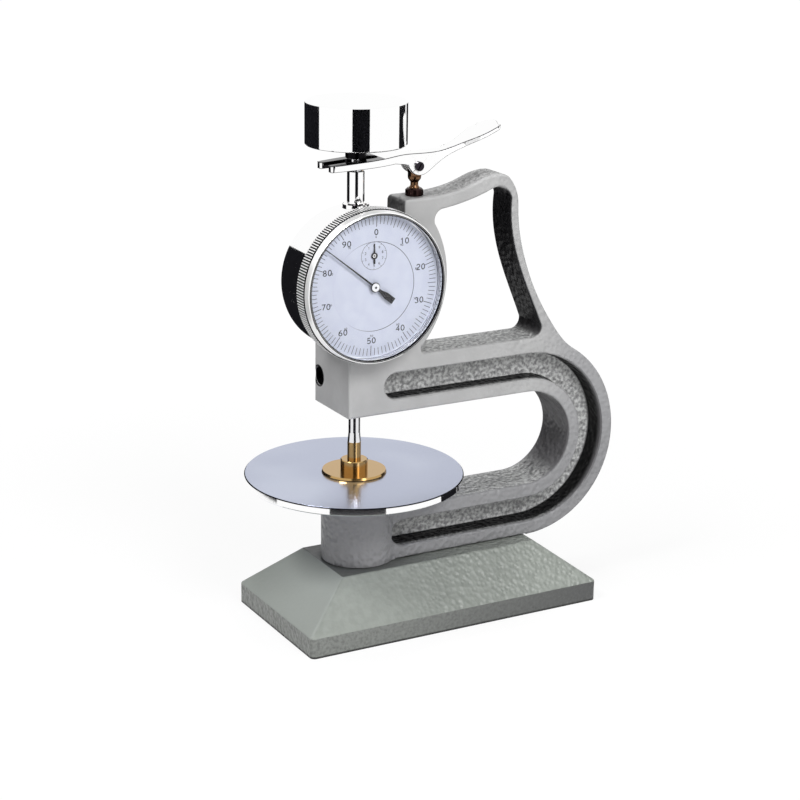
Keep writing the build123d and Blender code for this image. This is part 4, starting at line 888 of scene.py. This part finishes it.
def nut_knurl():
    """Knurl round the lock nut under the lever"""
    nut_r = (nut_high.x - nut_low.x) / 2
    mesh = ridged_ring(nut_ridges, nut_r + knurl_root, nut_r + nut_rise, nut_r - knurl_inside,
                       nut_high.z - nut_low.z - nut_plain_edges)
    mesh.transform(Matrix.Translation(
        ((nut_low.x + nut_high.x) / 2, 0.0, nut_low.z + nut_plain_edge)
    ))
    new_piece("lock_nut_knurl", mesh, dark_steel, "stand")


lever_weld = 0.002 * MM
lever_edge = 0.22 * MM


def soften_lever():
    """Rounded edges of the lever, with a painted dark reflection on them"""
    lever = nodes["lifting_lever"]
    # painted reflection: the rounded edges are painted dark
    lever.data.materials.append(polished("edge_dark_reflection", seen(34, 32, 36), 0.1))
    weld = lever.modifiers.new("joined_faces", "WELD")
    weld.merge_threshold = lever_weld
    bevel = lever.modifiers.new("soft_edges", "BEVEL")
    bevel.material = 1
    bevel.width = lever_edge
    bevel.segments = 3
    bevel.limit_method = "ANGLE"
    bevel.angle_limit = radians(40)
    bevel.use_clamp_overlap = False


dot_height = 0.1 * MM
main_dot_r = 0.45 * MM
counter_dot_r = 0.3 * MM


def hub_dots():
    """Dark ends of the arbors in the middle of each hub"""
    boss_front_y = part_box("main_hand_boss")[0].y
    for name, centre, front_y, radius, body in (
        ("main_hub_dot", dial_centre, boss_front_y, main_dot_r, "main_hand_group"),
        ("counter_hub_dot", counter_centre, counter_low.y, counter_dot_r, "counter_group"),
    ):
        mesh = bmesh.new()
        bmesh.ops.create_cone(
            mesh, cap_ends=True, segments=32, radius1=radius, radius2=radius, depth=dot_height,
            matrix=Matrix.Translation((centre.x, front_y, centre.z))
            @ Matrix.Rotation(pi / 2, 4, "X"),
        )
        new_piece(name, mesh, black_enamel, body)


# Studio round the object: levels of light, and how the floor's glow grows away from its middle
room_light = 0.06
floor_half = 6.0
floor_colour = (0.86, 0.86, 0.86, 1.0)
floor_glow = 1.02
floor_glow_reach = (0.08, 0.45)
floor_glow_share = (0.86, 1.0)


def rays_that_see(tree):
    """Share that is 1 for what the camera looks at, itself or by mirror or glass"""
    rays = tree.nodes.new("ShaderNodeLightPath").outputs
    looking = rays["Is Camera Ray"]
    for kind in ("Is Glossy Ray", "Is Transmission Ray"):
        looking = arithmetic(tree, "MAXIMUM", looking, rays[kind])
    unscattered = arithmetic(tree, "LESS_THAN", rays["Diffuse Depth"], 0.5)
    return arithmetic(tree, "MULTIPLY", looking, unscattered)


def make_world():
    """White all round to look at, and a plain level of light"""
    world = bpy.data.worlds.new("studio")
    bpy.context.scene.world = world
    world.use_nodes = True
    tree = world.node_tree
    tree.nodes.clear()
    skies = []
    for strength in (room_light, 1.0):
        sky = tree.nodes.new("ShaderNodeBackground")
        sky.inputs["Strength"].default_value = strength
        sky.inputs["Color"].default_value = white
        skies.append(sky.outputs[0])
    output = tree.nodes.new("ShaderNodeOutputWorld")
    tree.links.new(mixed_shader(tree, rays_that_see(tree), *skies), output.inputs["Surface"])


def stage_piece(name, data, material):
    """Puts a finished mesh in the studio, outside the object"""
    data.materials.append(material)
    piece = bpy.data.objects.new(name, data)
    bpy.context.scene.collection.objects.link(piece)
    return piece


def make_floor():
    """Pale floor that stays white to look at and keeps a soft shadow"""
    material = bpy.data.materials.new("floor")
    material.use_nodes = True
    tree = material.node_tree
    tree.nodes.clear()
    plain = tree.nodes.new("ShaderNodeBsdfDiffuse")
    plain.inputs["Color"].default_value = floor_colour
    glow = tree.nodes.new("ShaderNodeEmission")
    glow.inputs["Strength"].default_value = floor_glow
    away = tree.nodes.new("ShaderNodeVectorMath")
    away.operation = "LENGTH"
    tree.links.new(tree.nodes.new("ShaderNodeTexCoord").outputs["Object"], away.inputs[0])
    glowing = smooth_range(tree, away.outputs["Value"], *floor_glow_reach, *floor_glow_share)
    looked_at = mixed_shader(tree, glowing, plain.outputs[0], glow.outputs[0])
    surface = mixed_shader(tree, rays_that_see(tree), plain.outputs[0], looked_at)
    output = tree.nodes.new("ShaderNodeOutputMaterial")
    tree.links.new(surface, output.inputs["Surface"])
    corners = [(floor_half * x, floor_half * y, 0) for x, y in ((-1, -1), (1, -1), (1, 1), (-1, 1))]
    data = bpy.data.meshes.new("floor")
    data.from_pydata(corners, [], [(0, 1, 2, 3)])
    stage_piece("floor", data, material)


# Dark cards that polished metal mirrors: each spans azimuths round the object, in degrees from
# +X. Its outline runs along the floor and up a wall, as distances and heights in metres
dark_cards = (
    ("wall_behind_left", 70.0, 154.0, ((0.42, 0.042), (0.42, 0.14))),
    ("foot_behind_left", 70.0, 150.0, ((0.42, 0.0005), (0.42, 0.042))),
    ("high_behind_left", 82.0, 150.0, ((0.42, 0.14), (0.42, 0.254))),
    ("floor_behind_left", 58.0, 164.0, ((0.19, 0.0005), (0.31, 0.0005))),
    ("far_floor_behind_left", 58.0, 150.0, ((0.31, 0.0005), (0.42, 0.0005))),
    ("wall_in_front", 234.0, 272.0, ((0.42, 0.0005), (0.42, 0.26))),
    ("floor_in_front", 220.0, 272.0, ((0.19, 0.0005), (0.42, 0.0005))),
    ("wall_right", 351.0, 381.0, ((0.42, 0.0005), (0.42, 0.14))),
    ("floor_right", 335.0, 381.0, ((0.12, 0.0005), (0.34, 0.0005))),
    ("wall_behind_right", 389.0, 416.0, ((0.42, 0.0005), (0.42, 0.14))),
    ("floor_behind_right", 387.0, 418.0, ((0.12, 0.0005), (0.42, 0.0005))),
)
card_steps = 16
card_black = (0.01, 0.01, 0.012, 1.0)


def make_cards():
    """Curved dark cards, seen only in reflections"""
    material = bpy.data.materials.new("dark_card")
    material.use_nodes = True
    shader = material.node_tree.nodes["Principled BSDF"]
    shader.inputs["Base Color"].default_value = card_black
    shader.inputs["Roughness"].default_value = 1.0
    shader.inputs["Specular IOR Level"].default_value = 0.0
    for name, start, end, outline in dark_cards:
        mesh = bmesh.new()
        columns = []
        for i in range(card_steps + 1):
            angle = radians(start + (end - start) * i / card_steps)
            columns.append([
                mesh.verts.new((r * cos(angle), r * sin(angle), z)) for r, z in outline
            ])
        for left, right in zip(columns, columns[1:]):
            mesh.faces.new((left[0], right[0], right[1], left[1]))
        data = bpy.data.meshes.new(name)
        mesh.to_mesh(data)
        mesh.free()
        card = stage_piece(name, data, material)
        card.visible_camera = False
        card.visible_diffuse = False
        card.visible_shadow = False
        card.visible_transmission = False


# Lamps: name, place and power, all of one size and aimed at the middle of the object
lamps = (
    ("left_lamp", (-0.8, -0.1, 1.15), 9.4),
    ("key_lamp", (0.06, -0.85, 0.85), 6.9),
    ("top_lamp", (0.1, 0.1, 1.35), 4.6),
    ("front_lamp", (0.05, -0.9, 0.5), 1.8),
)
lamp_size = 0.4
lamp_target = Vector((0.03, 0.0, 0.10))


def make_lamps():
    """Soft square lamps"""
    for name, place, power in lamps:
        data = bpy.data.lights.new(name, "AREA")
        data.size = lamp_size
        data.energy = power
        lamp = bpy.data.objects.new(name, data)
        lamp.location = place
        lamp.rotation_euler = (lamp_target - Vector(place)).to_track_quat("-Z", "Y").to_euler()
        bpy.context.scene.collection.objects.link(lamp)


make_camera()
make_world()
make_floor()
make_cards()
make_lamps()
scale_print()
dial_step()
counter_print()
bezel_shell()
bezel_knurl()
nut_knurl()
hub_dots()
soften_lever()
bpy.context.scene.view_settings.view_transform = "Standard"
